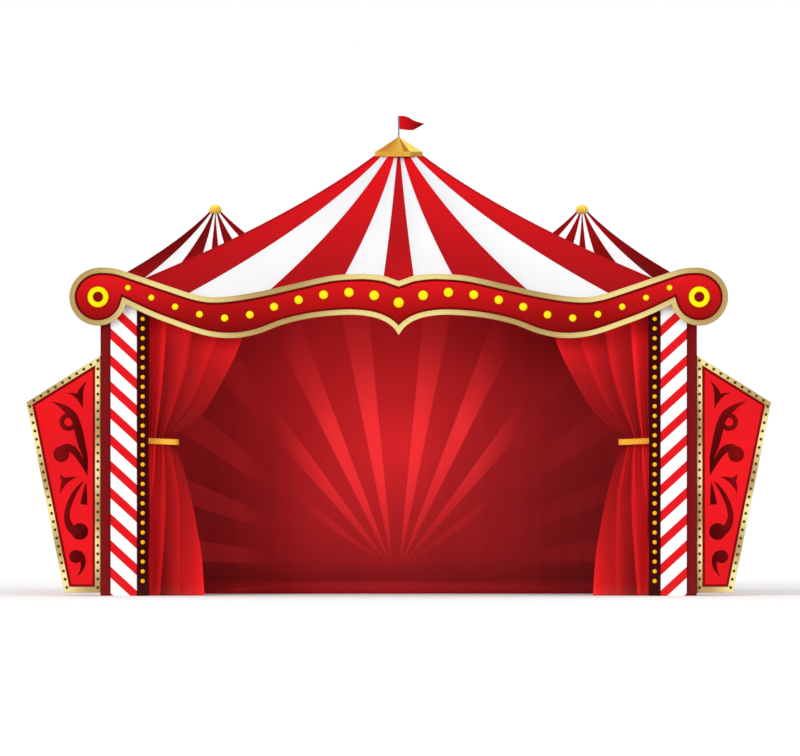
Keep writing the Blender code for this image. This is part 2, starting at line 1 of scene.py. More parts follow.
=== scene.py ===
"""Circus big top tent: canvas, velvet, gilt and lamps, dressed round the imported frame.

Every new piece is a set of patches. A patch is a grid of points, worked out with numpy from two
parameters: one runs along its columns and the other down its rows. Metres, +Z up, front to -Y.
"""

import math

import bmesh
import bpy
import numpy as np
from bpy.props import FloatProperty, FloatVectorProperty, IntProperty, PointerProperty
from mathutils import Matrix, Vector


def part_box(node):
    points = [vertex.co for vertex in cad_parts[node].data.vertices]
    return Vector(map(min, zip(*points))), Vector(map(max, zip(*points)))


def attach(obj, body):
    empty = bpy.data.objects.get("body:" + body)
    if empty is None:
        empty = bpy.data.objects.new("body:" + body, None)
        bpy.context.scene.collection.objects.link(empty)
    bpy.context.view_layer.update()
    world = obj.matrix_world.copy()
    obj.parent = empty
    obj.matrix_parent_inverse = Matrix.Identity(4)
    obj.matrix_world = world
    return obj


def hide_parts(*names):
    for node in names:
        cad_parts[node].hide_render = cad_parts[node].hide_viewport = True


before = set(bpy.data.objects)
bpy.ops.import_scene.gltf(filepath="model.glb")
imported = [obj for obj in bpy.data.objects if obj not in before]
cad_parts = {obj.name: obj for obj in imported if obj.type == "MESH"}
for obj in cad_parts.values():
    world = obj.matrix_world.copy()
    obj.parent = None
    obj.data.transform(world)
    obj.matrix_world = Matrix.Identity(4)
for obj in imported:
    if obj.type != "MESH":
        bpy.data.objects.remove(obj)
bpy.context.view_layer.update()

bl_info = {
    "name": "Circus Big Top Tent",
    "version": (1, 0, 0),
    "blender": (4, 5, 0),
    "location": "View3D > Sidebar > Big Top",
    "description": "Dresses a circus big top with striped canvas, velvet, gilt scrollwork and lamps",
    "category": "Add Mesh",
}

BODY = "root"

# The picture: its width in pixels, metres to a pixel, and its middle column and ground row
PICTURE_WIDTH = 800
PIXEL = 0.012
PICTURE_MIDDLE = 398.7
PICTURE_GROUND = 596.0

# How far a fitting's back stands off the board under it, so that the two never lie in one plane
GAP = 0.0003

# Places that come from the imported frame
FRONT_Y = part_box("show_board_rim")[0].y
BOARD_BACK_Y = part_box("show_board")[1].y
PILLAR_LOW, PILLAR_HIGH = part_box("pillar_right")
CANDY_LOW, CANDY_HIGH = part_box("candy_board_right")
STRIP_LOW, STRIP_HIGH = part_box("lamp_board_right")
WING_FACE_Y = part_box("wing_board_right")[0].y
RAIL_LOW, RAIL_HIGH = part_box("curtain_rail")
CURTAIN_LOW, CURTAIN_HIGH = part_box("curtain_right")
TIE_LOW, TIE_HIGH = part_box("tieback_right")
BACKDROP_LOW, BACKDROP_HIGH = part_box("backdrop")
CANOPY_FRONT_LOW, CANOPY_FRONT_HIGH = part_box("main_canopy_front")
CANOPY_BACK_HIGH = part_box("main_canopy_back")[1]
TOWER_WALL_LOW, TOWER_WALL_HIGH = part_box("tower_wall_right")
TOWER_FRONT_LOW, TOWER_FRONT_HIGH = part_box("tower_canopy_right_front")
CROWN_LOW, CROWN_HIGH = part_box("crown_cap")
TOWER_CAP_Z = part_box("tower_cap_right")[0].z
FLAGPOLE_LOW, FLAGPOLE_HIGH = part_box("flagpole")

# Main canopy: half width at a fall f below the crown is CROWN_HALF + CROWN_SLOPE f + rest f squared
EAVE_Z = CANOPY_FRONT_LOW.z
CROWN_Z = CANOPY_FRONT_HIGH.z
EAVE_HALF = CANOPY_FRONT_HIGH.x
CROWN_HALF = 0.292
CROWN_SLOPE = 1.338
CANOPY_Y = (CANOPY_FRONT_LOW.y + CANOPY_BACK_HIGH.y) / 2.0
CANOPY_RATIO = (CANOPY_BACK_HIGH.y - CANOPY_FRONT_LOW.y) / 2.0 / EAVE_HALF

# Pavilion canopies
TOWER_X = (TOWER_WALL_LOW.x + TOWER_WALL_HIGH.x) / 2.0
TOWER_Y = (TOWER_WALL_LOW.y + TOWER_WALL_HIGH.y) / 2.0
TOWER_HALF = (TOWER_WALL_HIGH.x - TOWER_WALL_LOW.x) / 2.0
TOWER_EAVE_HALF = TOWER_FRONT_HIGH.x - TOWER_X - 0.025
TOWER_EAVE_Z = TOWER_FRONT_LOW.z
TOWER_CROWN_Z = TOWER_FRONT_HIGH.z
TOWER_CROWN_HALF = 0.0756
TOWER_CROWN_SLOPE = 1.0

# Show board outline, right half, as (x, z)
BOARD_TOP = ((0.000, 3.780), (0.080, 3.808), (0.176, 3.840), (0.340, 3.862), (0.500, 3.866),
             (0.824, 3.840), (1.256, 3.746), (1.688, 3.650), (2.120, 3.588), (2.400, 3.606),
             (2.768, 3.720), (3.110, 3.836), (3.344, 3.914), (3.460, 3.936), (3.570, 3.942))
BOARD_BOTTOM = ((0.000, 3.130), (0.068, 3.222), (0.176, 3.298), (0.340, 3.352), (0.600, 3.374),
                (1.000, 3.342), (1.364, 3.264), (1.700, 3.142), (2.000, 3.094), (2.336, 3.130),
                (2.768, 3.276), (3.020, 3.376), (3.2755, 3.497))
DISC_X = 3.608
DISC_Z = 3.589
DISC_RADIUS = 0.345
BOARD_FACE_Y = FRONT_Y + 0.0352

# Lamps: those on the show board follow a line of their own, given from its middle outwards
LAMP_LINE = ((0.000, 3.521), (0.293, 3.608), (0.597, 3.643), (0.901, 3.615), (1.203, 3.553),
             (1.497, 3.470), (1.789, 3.375), (2.092, 3.336), (2.393, 3.381), (2.686, 3.472),
             (2.972, 3.582), (3.270, 3.708))
BOARD_LAMP_SPACING = 0.306
BOARD_LAMP_SHRINK = 0.0028
STRIP_LAMP_TOP = 3.326
STRIP_LAMP_SPACING = 0.1166

# Candy stripes: how they lean, how far apart they start, where, and how much of each is red
CANDY_LEAN = 0.92
CANDY_PITCH = 0.318
CANDY_PHASE = 0.679
CANDY_RED = 0.422

# Wings, right side, as (x, z)
WING_CORNERS = ((3.580, 2.887), (4.470, 2.323), (4.014, 0.038), (3.580, 0.038))
WING_FIELD = ((3.644, 2.768), (4.400, 2.297), (3.955, 0.108), (3.647, 0.108))
WING_FRAME_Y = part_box("wing_frame_right")[0].y

# Curtain: half widths of the free edge and of three fold lines, as (z, x)
CURTAIN_EDGE = ((3.4353, 1.850), (3.094, 1.886), (2.868, 1.969), (2.606, 2.100), (2.258, 2.303),
                (2.040, 2.510), (1.925, 2.682), (1.790, 2.684), (1.603, 2.606), (1.356, 2.538),
                (1.066, 2.469), (0.716, 2.404), (0.440, 2.362), (0.001, 2.333))
CURTAIN_LINES = (
    ((3.4353, 2.150), (3.101, 2.178), (2.592, 2.352), (2.258, 2.515), (1.952, 2.745),
     (1.800, 2.748), (1.500, 2.680), (1.182, 2.622), (0.600, 2.608), (0.001, 2.612)),
    ((3.4353, 2.450), (3.174, 2.473), (2.652, 2.570), (2.258, 2.690), (1.938, 2.815),
     (1.807, 2.818), (1.400, 2.800), (0.948, 2.800), (0.500, 2.830), (0.001, 2.868)),
    ((3.4353, 2.760), (3.283, 2.780), (2.652, 2.830), (2.258, 2.870), (1.908, 2.918),
     (1.814, 2.922), (1.400, 2.948), (1.100, 2.985), (0.864, 2.992), (0.400, 2.992), (0.001, 2.992)),
)

# Painted shade and highlight: the red that shows in each fold's valley, darker, and on its nose, brighter,
# from the pillar outwards, at these heights. The heads are painted brighter to make up for the show board's
# shadow
FOLD_HEIGHTS = (0.0, 1.80, 1.93, 2.59, 3.00, 3.20)
FOLD_PAINTED_SHADING = (
    ((185, 190), (205, 235), (165, 195), (160, 228), (192, 252), (218, 255)),
    ((205, 205), (178, 195), (125, 158), (134, 192), (149, 213), (188, 255)),
    ((119, 190), (148, 180), (104, 124), (133, 182), (152, 228), (165, 250)),
    ((164, 236), (133, 112), (118, 108), (146, 153), (182, 225), (192, 240)),
)

# Back cloth: the rays' focus, its thickness, the degrees between the rays and to the first, and the
# red that shows up its middle at these heights, which holds painted light and shade
FOCUS_Z = 0.288
FOCUS_SHIFT = 0.033
BACK_CLOTH = 0.002
RAY_PITCH = 15.2
RAY_FIRST = 8.5
GROUND_HEIGHTS = (0.0, 0.125, 0.165, 0.41, 0.77, 1.13, 1.49, 1.85, 2.21, 2.57, 3.20)
GROUND_REDS = (146, 146, 118, 141, 158, 174, 184, 195, 204, 214, 220)


def smooth_line(points, parts):
    """Catmull-Rom curve through the points, as one array.

    Each span is half of (2 b + (c - a) t + (2 a - 5 b + 4 c - d) t2 + (3 b - 3 c + d - a) t3),
    where a, b, c and d are the span's four points and t runs from 0 to 1 along it.
    """
    known = np.array(points, float)
    full = np.vstack([2.0 * known[0] - known[1], known, 2.0 * known[-1] - known[-2]])
    a, b, c, d = (full[i:len(full) - 3 + i, None, :] for i in range(4))
    t = np.linspace(0.0, 1.0, parts, endpoint=False)[None, :, None]
    bend = (2.0 * a - 5.0 * b + 4.0 * c - d) * t ** 2
    twist = (3.0 * (b - c) + d - a) * t ** 3
    line = 0.5 * (2.0 * b + (c - a) * t + bend + twist)
    return np.vstack([line.reshape(-1, known.shape[1]), known[-1]])


def along(points):
    """Distance along a line of points, from its first point."""
    steps = np.linalg.norm(np.diff(points, axis=0), axis=1)
    return np.concatenate([[0.0], np.cumsum(steps)])


def unit(vectors):
    """Each vector scaled to a length of 1."""
    return vectors / np.linalg.norm(vectors, axis=-1, keepdims=True)


def smoothstep(values):
    """0 below 0, 1 above 1, and 3 x2 - 2 x3 between."""
    x = np.clip(values, 0.0, 1.0)
    return x * x * (3.0 - 2.0 * x)


def stacked(*parts):
    """Values spread over one another's rows and columns, side by side on a last axis."""
    return np.stack(np.broadcast_arrays(*parts), -1)


def patch(points, uv=None):
    """A grid of points, or many alike, shaped (count, rows, columns, 3), and its uv.

    Without uv, u is the share along the columns and v the share down the rows.
    """
    points = np.asarray(points, float)
    points = points.reshape((-1,) + points.shape[-3:])
    if uv is None:
        uv = stacked(np.linspace(0.0, 1.0, points.shape[2]), np.linspace(0.0, 1.0, points.shape[1])[:, None])
    return points, np.broadcast_to(uv, points.shape[:3] + (2,))


def mirrored(patches):
    """The same patches on the left, each with its columns turned round so that it faces as before."""
    return [((points * (-1.0, 1.0, 1.0))[:, :, ::-1], uv[:, :, ::-1]) for points, uv in patches]


SIDES = (("left", mirrored), ("right", list))
MERGE = 0.00002


def build_piece(name, patches, material, smooth=40.0, turn_out=True):
    """Joins patches into one mesh object, closes its seams and poles, and puts it in the scene.

    A patch's quad (row i, column j) joins the points (i, j), (i, j+1), (i+1, j+1) and (i+1, j).
    Edges that turn by more than smooth degrees stay sharp.
    """
    points, quads, uvs, start = [], [], [], 0
    for grid, uv in patches:
        count, rows, columns = grid.shape[:3]
        ids = start + np.arange(count * rows * columns).reshape(count, rows, columns)
        corners = [ids[:, :-1, :-1], ids[:, :-1, 1:], ids[:, 1:, 1:], ids[:, 1:, :-1]]
        points.append(grid.reshape(-1, 3))
        uvs.append(uv.reshape(-1, 2))
        quads.append(np.stack(corners, axis=-1).reshape(-1, 4))
        start += ids.size
    points, quads, uvs = np.vstack(points), np.vstack(quads), np.vstack(uvs)
    mesh = bpy.data.meshes.new(name)
    mesh.vertices.add(len(points))
    mesh.vertices.foreach_set("co", points.astype(np.float32).ravel())
    mesh.loops.add(quads.size)
    mesh.loops.foreach_set("vertex_index", quads.astype(np.int32).ravel())
    mesh.polygons.add(len(quads))
    mesh.polygons.foreach_set("loop_start", np.arange(0, quads.size, 4, dtype=np.int32))
    layer = mesh.uv_layers.new(name="Surface")
    layer.data.foreach_set("uv", uvs[quads.ravel()].astype(np.float32).ravel())
    mesh.update(calc_edges=True)
    form = bmesh.new()
    form.from_mesh(mesh)
    bmesh.ops.remove_doubles(form, verts=form.verts, dist=MERGE)
    bmesh.ops.dissolve_degenerate(form, edges=form.edges, dist=MERGE / 4.0)
    if turn_out:
        bmesh.ops.recalc_face_normals(form, faces=form.faces)
    form.to_mesh(mesh)
    form.free()
    mesh.materials.append(material)
    mesh.shade_smooth()
    mesh.set_sharp_from_angle(angle=math.radians(smooth))
    thing = bpy.data.objects.new(name, mesh)
    bpy.context.scene.collection.objects.link(thing)
    return thing


def seat(thing, slot, *nodes):
    """The piece rides on the tent's one body and stands for nodes; its slot is not used."""
    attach(thing, BODY)
    if nodes:
        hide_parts(*nodes)
    return thing


def solid(name, patches, look, slot, *nodes, smooth=40.0):
    """A closed piece in its finish, seated."""
    return seat(build_piece(name, patches, finish(look), smooth), slot, *nodes)


def sheet(name, patches, look, slot, *nodes, thickness, offset=0.0, smooth=40.0):
    """An open sheet in its finish, seated, with its thickness to both sides or, by its offset, to one."""
    cloth = build_piece(name, patches, finish(look), smooth, turn_out=False)
    shell = cloth.modifiers.new("Thickness", "SOLIDIFY")
    shell.thickness = thickness
    shell.offset = offset
    return seat(cloth, slot, *nodes)


def box_patches(low, high, bevel):
    """A box with bevelled edges, as a stack of rings that closes in a pole at each end.

    Ring points are the corners pulled in by the bevel. u runs round it in metres, v up its height.
    """
    low, high = np.array(low, float), np.array(high, float)
    size = high - low
    inset = min(bevel, size.min() / 2.5)
    levels = np.array([0.0, 0.0, inset, size[2] - inset, size[2], size[2]]) + low[2]
    shrink = np.array([1.0, inset, 0.0, 0.0, inset, 1.0])
    x0, y0, x1, y1 = low[0], low[1], high[0], high[1]
    ring = np.array([(x0 + inset, y0), (x1 - inset, y0), (x1, y0 + inset), (x1, y1 - inset),
                     (x1 - inset, y1), (x0 + inset, y1), (x0, y1 - inset), (x0, y0 + inset),
                     (x0 + inset, y0)])
    centre = (low[:2] + high[:2]) / 2.0
    pulled = np.clip(ring[None], low[:2] + shrink[:, None, None], high[:2] - shrink[:, None, None])
    pulled[0], pulled[-1] = centre, centre
    heights = levels[:, None]
    return patch(stacked(pulled[..., 0], pulled[..., 1], heights), stacked(along(ring), heights))


def srgb(red, green, blue, light=1.0):
    """Linear value of a colour that shows as this red, green and blue, 0 to 255, in a light this strong."""
    share = np.array([red, green, blue]) / 255.0
    linear = np.where(share <= 0.04045, share / 12.92, ((share + 0.055) / 1.055) ** 2.4) / light
    return tuple(float(part) for part in linear) + (1.0,)


def stops(light, *parts):
    """Ramp stops from (place, red, green, blue), as they show in a light this strong."""
    return [(place, srgb(*colour, light)) for place, *colour in parts]


# How strong the studio's light is on upright faces to the front, on the roofs and on the curtains
FRONT_LIGHT = 1.30
ROOF_LIGHT = 1.335
CURTAIN_LIGHT = 1.0

BRIGHT_RED = srgb(237, 22, 30, FRONT_LIGHT)
CANVAS_WHITE = srgb(253, 252, 253, FRONT_LIGHT)
CANVAS_GREY = srgb(230, 226, 233, FRONT_LIGHT)
# Pale and dark gold: the two ends of the gilt's painted reflection; the dark gold is also what worn spots
# show on the scrolls
PALE_GOLD = srgb(207, 191, 125)
SHADOW_AND_WORN_GOLD = srgb(162, 137, 84)
# Brown gold: the shaded end of the caps' painted light and shade, and what worn spots show on the scroll
# rings
BROWN_GOLD = srgb(178, 114, 18)
DUST = srgb(176, 150, 128)


def fill(tree, made, inputs):
    """Links or sets the inputs of a node."""
    for key, value in inputs.items():
        if isinstance(value, bpy.types.NodeSocket):
            tree.links.new(value, made.inputs[key])
        else:
            made.inputs[key].default_value = value


def node(tree, kind, inputs=None, out=0, **settings):
    """Adds a shader node, sets it up, fills its inputs, and returns one output."""
    made = tree.nodes.new(kind)
    for key, value in settings.items():
        setattr(made, key, value)
    fill(tree, made, inputs or {})
    return made.outputs[out]


def split(tree, vector):
    """The parts X, Y and Z of a vector."""
    made = tree.nodes.new("ShaderNodeSeparateXYZ")
    tree.links.new(vector, made.inputs[0])
    return made.outputs


def maths(tree, operation, first, second=0.0, third=0.0):
    """One step of arithmetic on two or three values."""
    return node(tree, "ShaderNodeMath", {0: first, 1: second, 2: third}, operation=operation)


def mixed(tree, factor, first, second, blend="MIX"):
    """Two colours blended by a factor."""
    inputs = {0: factor, 6: first, 7: second}
    return node(tree, "ShaderNodeMix", inputs, out=2, data_type="RGBA", blend_type=blend)


def shaded(tree, colour, tone):
    """A colour times a tone."""
    grey = node(tree, "ShaderNodeCombineColor", {0: tone, 1: tone, 2: tone})
    return mixed(tree, 1.0, colour, grey, "MULTIPLY")


def span(tree, value, low, high, to_low=0.0, to_high=1.0):
    """A value carried from one range to another, and kept inside it."""
    inputs = {0: value, 1: low, 2: high, 3: to_low, 4: to_high}
    return node(tree, "ShaderNodeMapRange", inputs, clamp=True)


def ramp(tree, value, stops):
    """A colour read from stops, each a place from 0 to 1 and a colour."""
    made = tree.nodes.new("ShaderNodeValToRGB")
    tree.links.new(value, made.inputs[0])
    steps = made.color_ramp
    while len(steps.elements) < len(stops):
        steps.elements.new(0.5)
    for element, (place, colour) in zip(steps.elements, stops):
        element.position = place
        element.color = colour
    return made.outputs[0]


def noise(tree, vector, scale, detail=3.0, roughness=0.5):
    """Soft noise from 0 to 1."""
    inputs = {"Vector": vector, "Scale": scale, "Detail": detail, "Roughness": roughness}
    return node(tree, "ShaderNodeTexNoise", inputs)


def stretched(tree, vector, scale):
    """A vector scaled along each axis."""
    return node(tree, "ShaderNodeMapping", {"Vector": vector, "Scale": scale})


def bump(tree, height, distance, strength):
    """A normal that a height in 0 to 1 bends, as if it stood that far off the surface."""
    inputs = {"Height": height, "Distance": distance, "Strength": strength}
    return node(tree, "ShaderNodeBump", inputs)


def open_group(name, inputs, outputs):
    """A new node group with its sockets, and the sockets inside it to link from and to."""
    tree = bpy.data.node_groups.new(name, "ShaderNodeTree")
    for label, value in inputs:
        kind = "NodeSocketVector" if value is None else "NodeSocketFloat"
        socket = tree.interface.new_socket(name=label, in_out="INPUT", socket_type=kind)
        if value is not None:
            socket.default_value = value
    for label in outputs:
        tree.interface.new_socket(name=label, in_out="OUTPUT", socket_type="NodeSocketFloat")
    return tree, tree.nodes.new("NodeGroupInput").outputs, tree.nodes.new("NodeGroupOutput").inputs


def weave_group():
    """Plain weave: sin(x) sin(y) of the thread pitch, and slubs from noise drawn out along the threads."""
    tree, given, out = open_group("Canvas weave", [("Vector", None), ("Pitch", 0.004)], ["Height", "Slub"])
    turns = maths(tree, "DIVIDE", 2.0 * math.pi, given["Pitch"])
    scaled = node(tree, "ShaderNodeVectorMath", {0: given["Vector"], "Scale": turns}, operation="SCALE")
    parts = split(tree, scaled)
    woven = maths(tree, "MULTIPLY", maths(tree, "SINE", parts["X"]), maths(tree, "SINE", parts["Z"]))
    tree.links.new(maths(tree, "MULTIPLY_ADD", woven, 0.5, 0.5), out["Height"])
    warp = noise(tree, stretched(tree, given["Vector"], (160.0, 160.0, 9.0)), 1.0, 2.0)
    weft = noise(tree, stretched(tree, given["Vector"], (9.0, 9.0, 160.0)), 1.0, 2.0)
    both = maths(tree, "ADD", warp, weft)
    tree.links.new(maths(tree, "MULTIPLY", both, 0.5), out["Slub"])
    return tree


def dust_group():
    """Dust and splash: noise that gathers towards the ground, plus faint rain runs down the cloth."""
    inputs = [("Vector", None), ("Amount", 0.3), ("Reach", 0.6)]
    tree, given, out = open_group("Ground dust", inputs, ["Mask"])
    low = span(tree, split(tree, given["Vector"])["Z"], 0.0, given["Reach"], 1.0, 0.0)
    patchy = span(tree, noise(tree, given["Vector"], 5.0, 5.0, 0.62), 0.3, 0.75)
    foot = maths(tree, "MULTIPLY", low, patchy)
    runs = noise(tree, stretched(tree, given["Vector"], (14.0, 14.0, 0.7)), 1.0, 3.0)
    faint = span(tree, runs, 0.52, 0.86, 0.0, 0.06)
    total = maths(tree, "ADD", foot, faint)
    tree.links.new(maths(tree, "MULTIPLY", total, given["Amount"]), out["Mask"])
    return tree


def brush_group():
    """Brushed paint: fine noise drawn out downwards for the strokes, slow noise for the tone, and
    small worn spots where two noises are both high."""
    inputs = [("Vector", None), ("Wear", 0.2)]
    tree, given, out = open_group("Brushed paint", inputs, ["Height", "Tone", "Worn"])
    strokes = noise(tree, stretched(tree, given["Vector"], (120.0, 120.0, 7.0)), 1.0, 3.0)
    tone = noise(tree, given["Vector"], 2.3, 3.0, 0.55)
    spots = noise(tree, given["Vector"], 34.0, 4.0, 0.6)
    areas = noise(tree, given["Vector"], 3.1, 2.0)
    worn = maths(tree, "MULTIPLY", span(tree, spots, 0.62, 0.68), span(tree, areas, 0.52, 0.66))
    tree.links.new(strokes, out["Height"])
    tree.links.new(tone, out["Tone"])
    tree.links.new(maths(tree, "MULTIPLY", worn, given["Wear"]), out["Worn"])
    return tree


def leaf_group():
    """Gold leaf: a slow wave along the piece between bright and dark, a painted reflection, and fine laps and
    speckle.
    """
    inputs = [("Vector", None), ("Along", 0.0), ("Period", 0.65)]
    tree, given, out = open_group("Gold leaf", inputs, ["Tone", "Grain"])
    turns = maths(tree, "DIVIDE", given["Along"], given["Period"])
    drift = noise(tree, given["Vector"], 0.9, 1.0)
    moved = maths(tree, "MULTIPLY_ADD", drift, 1.4, turns)
    wave = maths(tree, "SINE", maths(tree, "MULTIPLY", moved, 2.0 * math.pi))
    slow = maths(tree, "MULTIPLY_ADD", wave, 0.5, 0.5)
    grain = noise(tree, given["Vector"], 46.0, 4.0, 0.6)
    speckled = maths(tree, "MULTIPLY_ADD", grain, 0.24, maths(tree, "SUBTRACT", slow, 0.12))
    tree.links.new(speckled, out["Tone"])
    tree.links.new(grain, out["Grain"])
    return tree


def grain_group():
    """Timber: noise drawn out along the length for the grain, with slow bands for the growth rings."""
    tree, given, out = open_group("Timber grain", [("Vector", None)], ["Height", "Tone"])
    fine = noise(tree, stretched(tree, given["Vector"], (5.0, 90.0, 90.0)), 1.0, 4.0, 0.6)
    bands = noise(tree, stretched(tree, given["Vector"], (1.0, 14.0, 14.0)), 1.0, 2.0)
    tree.links.new(fine, out["Height"])
    tree.links.new(bands, out["Tone"])
    return tree


GROUPS = {"Canvas weave": weave_group, "Ground dust": dust_group, "Brushed paint": brush_group,
          "Gold leaf": leaf_group, "Timber grain": grain_group}


def effect(tree, name, inputs):
    """Places a shared effect in a material and returns its outputs."""
    group = bpy.data.node_groups.get(name) or GROUPS[name]()
    placed = tree.nodes.new("ShaderNodeGroup")
    placed.node_tree = group
    fill(tree, placed, inputs)
    return placed.outputs


def open_material(name, roughness, metallic=0.0, specular=0.5):
    """A new material: its tree, its shader, its object coordinates, and its piece's u and v."""
    material = bpy.data.materials.new(name)
    material.use_nodes = True
    tree = material.node_tree
    shader = tree.nodes["Principled BSDF"]
    shader.inputs["Roughness"].default_value = roughness
    shader.inputs["Metallic"].default_value = metallic
    shader.inputs["Specular IOR Level"].default_value = specular
    place = node(tree, "ShaderNodeTexCoord", out=3)
    surface = node(tree, "ShaderNodeUVMap", uv_map="Surface")
    parts = split(tree, surface)
    return material, tree, shader, place, parts["X"], parts["Y"]


def feed(tree, shader, **sockets):
    """Links colours, roughness and normals into the shader."""
    names = {"colour": "Base Color", "roughness": "Roughness", "normal": "Normal", "glow": "Emission Color"}
    for key, socket in sockets.items():
        tree.links.new(socket, shader.inputs[names[key]])


def dusty(tree, colour, place, amount, reach=0.6):
    """A colour with ground dust laid over it."""
    mask = effect(tree, "Ground dust", {"Vector": place, "Amount": amount, "Reach": reach})["Mask"]
    return mixed(tree, mask, colour, DUST)


def seam_darkening(tree, across, depth):
    """1 in the middle of a gore and 1 less depth at its seams: depth times |2 f - 1| to the sixth."""
    share = maths(tree, "FRACT", across)
    off = maths(tree, "ABSOLUTE", maths(tree, "MULTIPLY_ADD", share, 2.0, -1.0))
    return maths(tree, "MULTIPLY_ADD", maths(tree, "POWER", off, 6.0), -depth, 1.0)


def canvas_material(name, reds, whites, pitch=0.006, dust=0.02, middle=None, sweep=None):
    """Striped canvas: a gore with an even number is red and one with an odd number is white.

    Both change down the slope by their own stops, which on the roofs carry painted shade, and the
    weave, slubs and seams vary them. The front's middle gore can have painted-shade stops of its own,
    and the reds can brighten across the front by a sweep of painted light.
    """
    material, tree, shader, place, u, v = open_material(name, 0.78, specular=0.03)
    gore = maths(tree, "FLOOR", u)
    red = ramp(tree, v, reds)
    if middle:
        red = mixed(tree, maths(tree, "COMPARE", gore, 4.0, 0.1), red, ramp(tree, v, middle))
    if sweep:
        red = shaded(tree, red, span(tree, gore, 0.0, 8.0, *sweep))
    stripes = mixed(tree, maths(tree, "MODULO", gore, 2.0), red, ramp(tree, v, whites))
    weave = effect(tree, "Canvas weave", {"Vector": place, "Pitch": pitch})
    slow = span(tree, noise(tree, place, 1.7, 3.0), 0.3, 0.7, 0.98, 1.0)
    slub = span(tree, weave["Slub"], 0.35, 0.65, 0.98, 1.0)
    shade = maths(tree, "MULTIPLY", maths(tree, "MULTIPLY", slow, slub), seam_darkening(tree, u, 0.05))
    colour = dusty(tree, shaded(tree, stripes, shade), place, dust)
    height = maths(tree, "MULTIPLY_ADD", weave["Slub"], 1.5, weave["Height"])
    feed(tree, shader, colour=colour, normal=bump(tree, height, 0.0008, 0.35))
    return material


WHITES = stops(FRONT_LIGHT, (0.0, 252, 251, 252), (1.0, 232, 228, 234))


def main_canvas(name):
    """The main roof's canvas, with painted shade: reds that darken down the slope, whites greyed near the
    crown, and a middle gore on the front with painted shade of its own.
    """
    reds = stops(ROOF_LIGHT, (0.0, 232, 20, 28), (0.4, 211, 20, 27), (0.8, 185, 17, 24), (1.0, 174, 15, 21))
    whites = stops(ROOF_LIGHT, (0.0, 236, 237, 242), (0.3, 245, 245, 248), (0.6, 254, 253, 254),
                   (1.0, 252, 251, 252))
    middle = stops(ROOF_LIGHT, (0.0, 198, 20, 27), (0.6, 190, 18, 24), (0.8, 196, 18, 25), (1.0, 204, 18, 25))
    return canvas_material(name, reds, whites, middle=middle)


def pavilion_whites(share):
    """The pavilions' white gores, brightened by painted light to make up for the shade they stand in, by this
    share of the roofs' light.
    """
    return stops(ROOF_LIGHT * share, (0.0, 254, 253, 254), (1.0, 254, 252, 254))


def left_pavilion_canvas(name):
    """The left pavilion's canvas: dark reds, painted shade, that brighten towards the middle of the tent by a
    sweep of painted light.
    """
    reds = stops(ROOF_LIGHT, (0.0, 120, 6, 9), (0.35, 112, 5, 8), (0.6, 132, 7, 10), (0.9, 153, 8, 12))
    return canvas_material(name, reds, pavilion_whites(0.92), sweep=(1.0, 1.7))


def right_pavilion_canvas(name):
    """The right pavilion's canvas: dark reds, painted shade, that darken further down the slope."""
    reds = stops(ROOF_LIGHT, (0.0, 172, 12, 18), (0.3, 162, 9, 14), (0.6, 140, 8, 11), (0.9, 122, 6, 9))
    return canvas_material(name, reds, pavilion_whites(0.85))


def hanging_canvas(name, top, foot, **options):
    """Walls and scallops, whose red runs from one colour at the top to another at the foot."""
    return canvas_material(name, stops(FRONT_LIGHT, (0.0, *top), (1.0, *foot)), WHITES, **options)


def red_tones(tree, tone, green, blue, light=1.0):
    """Reds from dark to bright: the tone is the red that shows, with green and blue as shares of it."""
    reds = [(share, 255.0 * share) for share in (0.0, 0.2, 0.35, 0.5, 0.65, 0.8, 0.9, 1.0)]
    return ramp(tree, tone, stops(light, *((share, red, red * green, red * blue) for share, red in reds)))


def velvet(name):
    """Curtain velvet whose tone v holds painted shade in the folds' valleys and a painted highlight on their
    noses; the nap, noise drawn out downwards, mottles it.
    """
    material, tree, shader, place, u, v = open_material(name, 0.85, specular=0.04)
    shader.inputs["Sheen Weight"].default_value = 0.06
    shader.inputs["Sheen Roughness"].default_value = 0.45
    shader.inputs["Sheen Tint"].default_value = srgb(255, 70, 70)
    nap = noise(tree, stretched(tree, place, (60.0, 60.0, 5.0)), 1.0, 4.0, 0.6)
    folds = shaded(tree, red_tones(tree, v, 0.12, 0.14, CURTAIN_LIGHT), span(tree, nap, 0.3, 0.7, 0.93, 1.0))
    colour = dusty(tree, folds, place, 0.08, 0.15)
    feed(tree, shader, colour=colour, normal=bump(tree, nap, 0.0012, 0.4))
    return material


def sunburst_cloth(name):
    """Painted back cloth: its ground has the tone u, which holds painted light and shade. Rays spread over
    it from a low focus at even angles, as strongly as v says. Ray k leans first + pitch k degrees."""
    material, tree, shader, place, u, v = open_material(name, 0.88, specular=0.05)
    parts = split(tree, place)
    moved = maths(tree, "ABSOLUTE", maths(tree, "ADD", parts["X"], FOCUS_SHIFT))
    across = maths(tree, "MAXIMUM", maths(tree, "SUBTRACT", moved, FOCUS_SHIFT), 0.0)
    height = maths(tree, "SUBTRACT", parts["Z"], FOCUS_Z)
    angle = maths(tree, "MULTIPLY", maths(tree, "ARCTAN2", across, height), 180.0 / math.pi)
    passed = maths(tree, "MULTIPLY_ADD", angle, 1.0 / RAY_PITCH, 1.5 - RAY_FIRST / RAY_PITCH)
    turn = maths(tree, "FRACT", passed)
    off = maths(tree, "ABSOLUTE", maths(tree, "SUBTRACT", turn, 0.5))
    ray = maths(tree, "MULTIPLY", span(tree, off, 0.185, 0.205, 1.0, 0.0), v)
    painted = mixed(tree, ray, red_tones(tree, u, 0.165, 0.19), srgb(255, 52, 57))
    weave = effect(tree, "Canvas weave", {"Vector": place, "Pitch": 0.005})
    brushed = span(tree, noise(tree, place, 3.4, 4.0, 0.6), 0.3, 0.7, 0.96, 1.0)
    feed(tree, shader, colour=shaded(tree, painted, brushed), normal=bump(tree, weave["Slub"], 0.0006, 0.35))
    return material


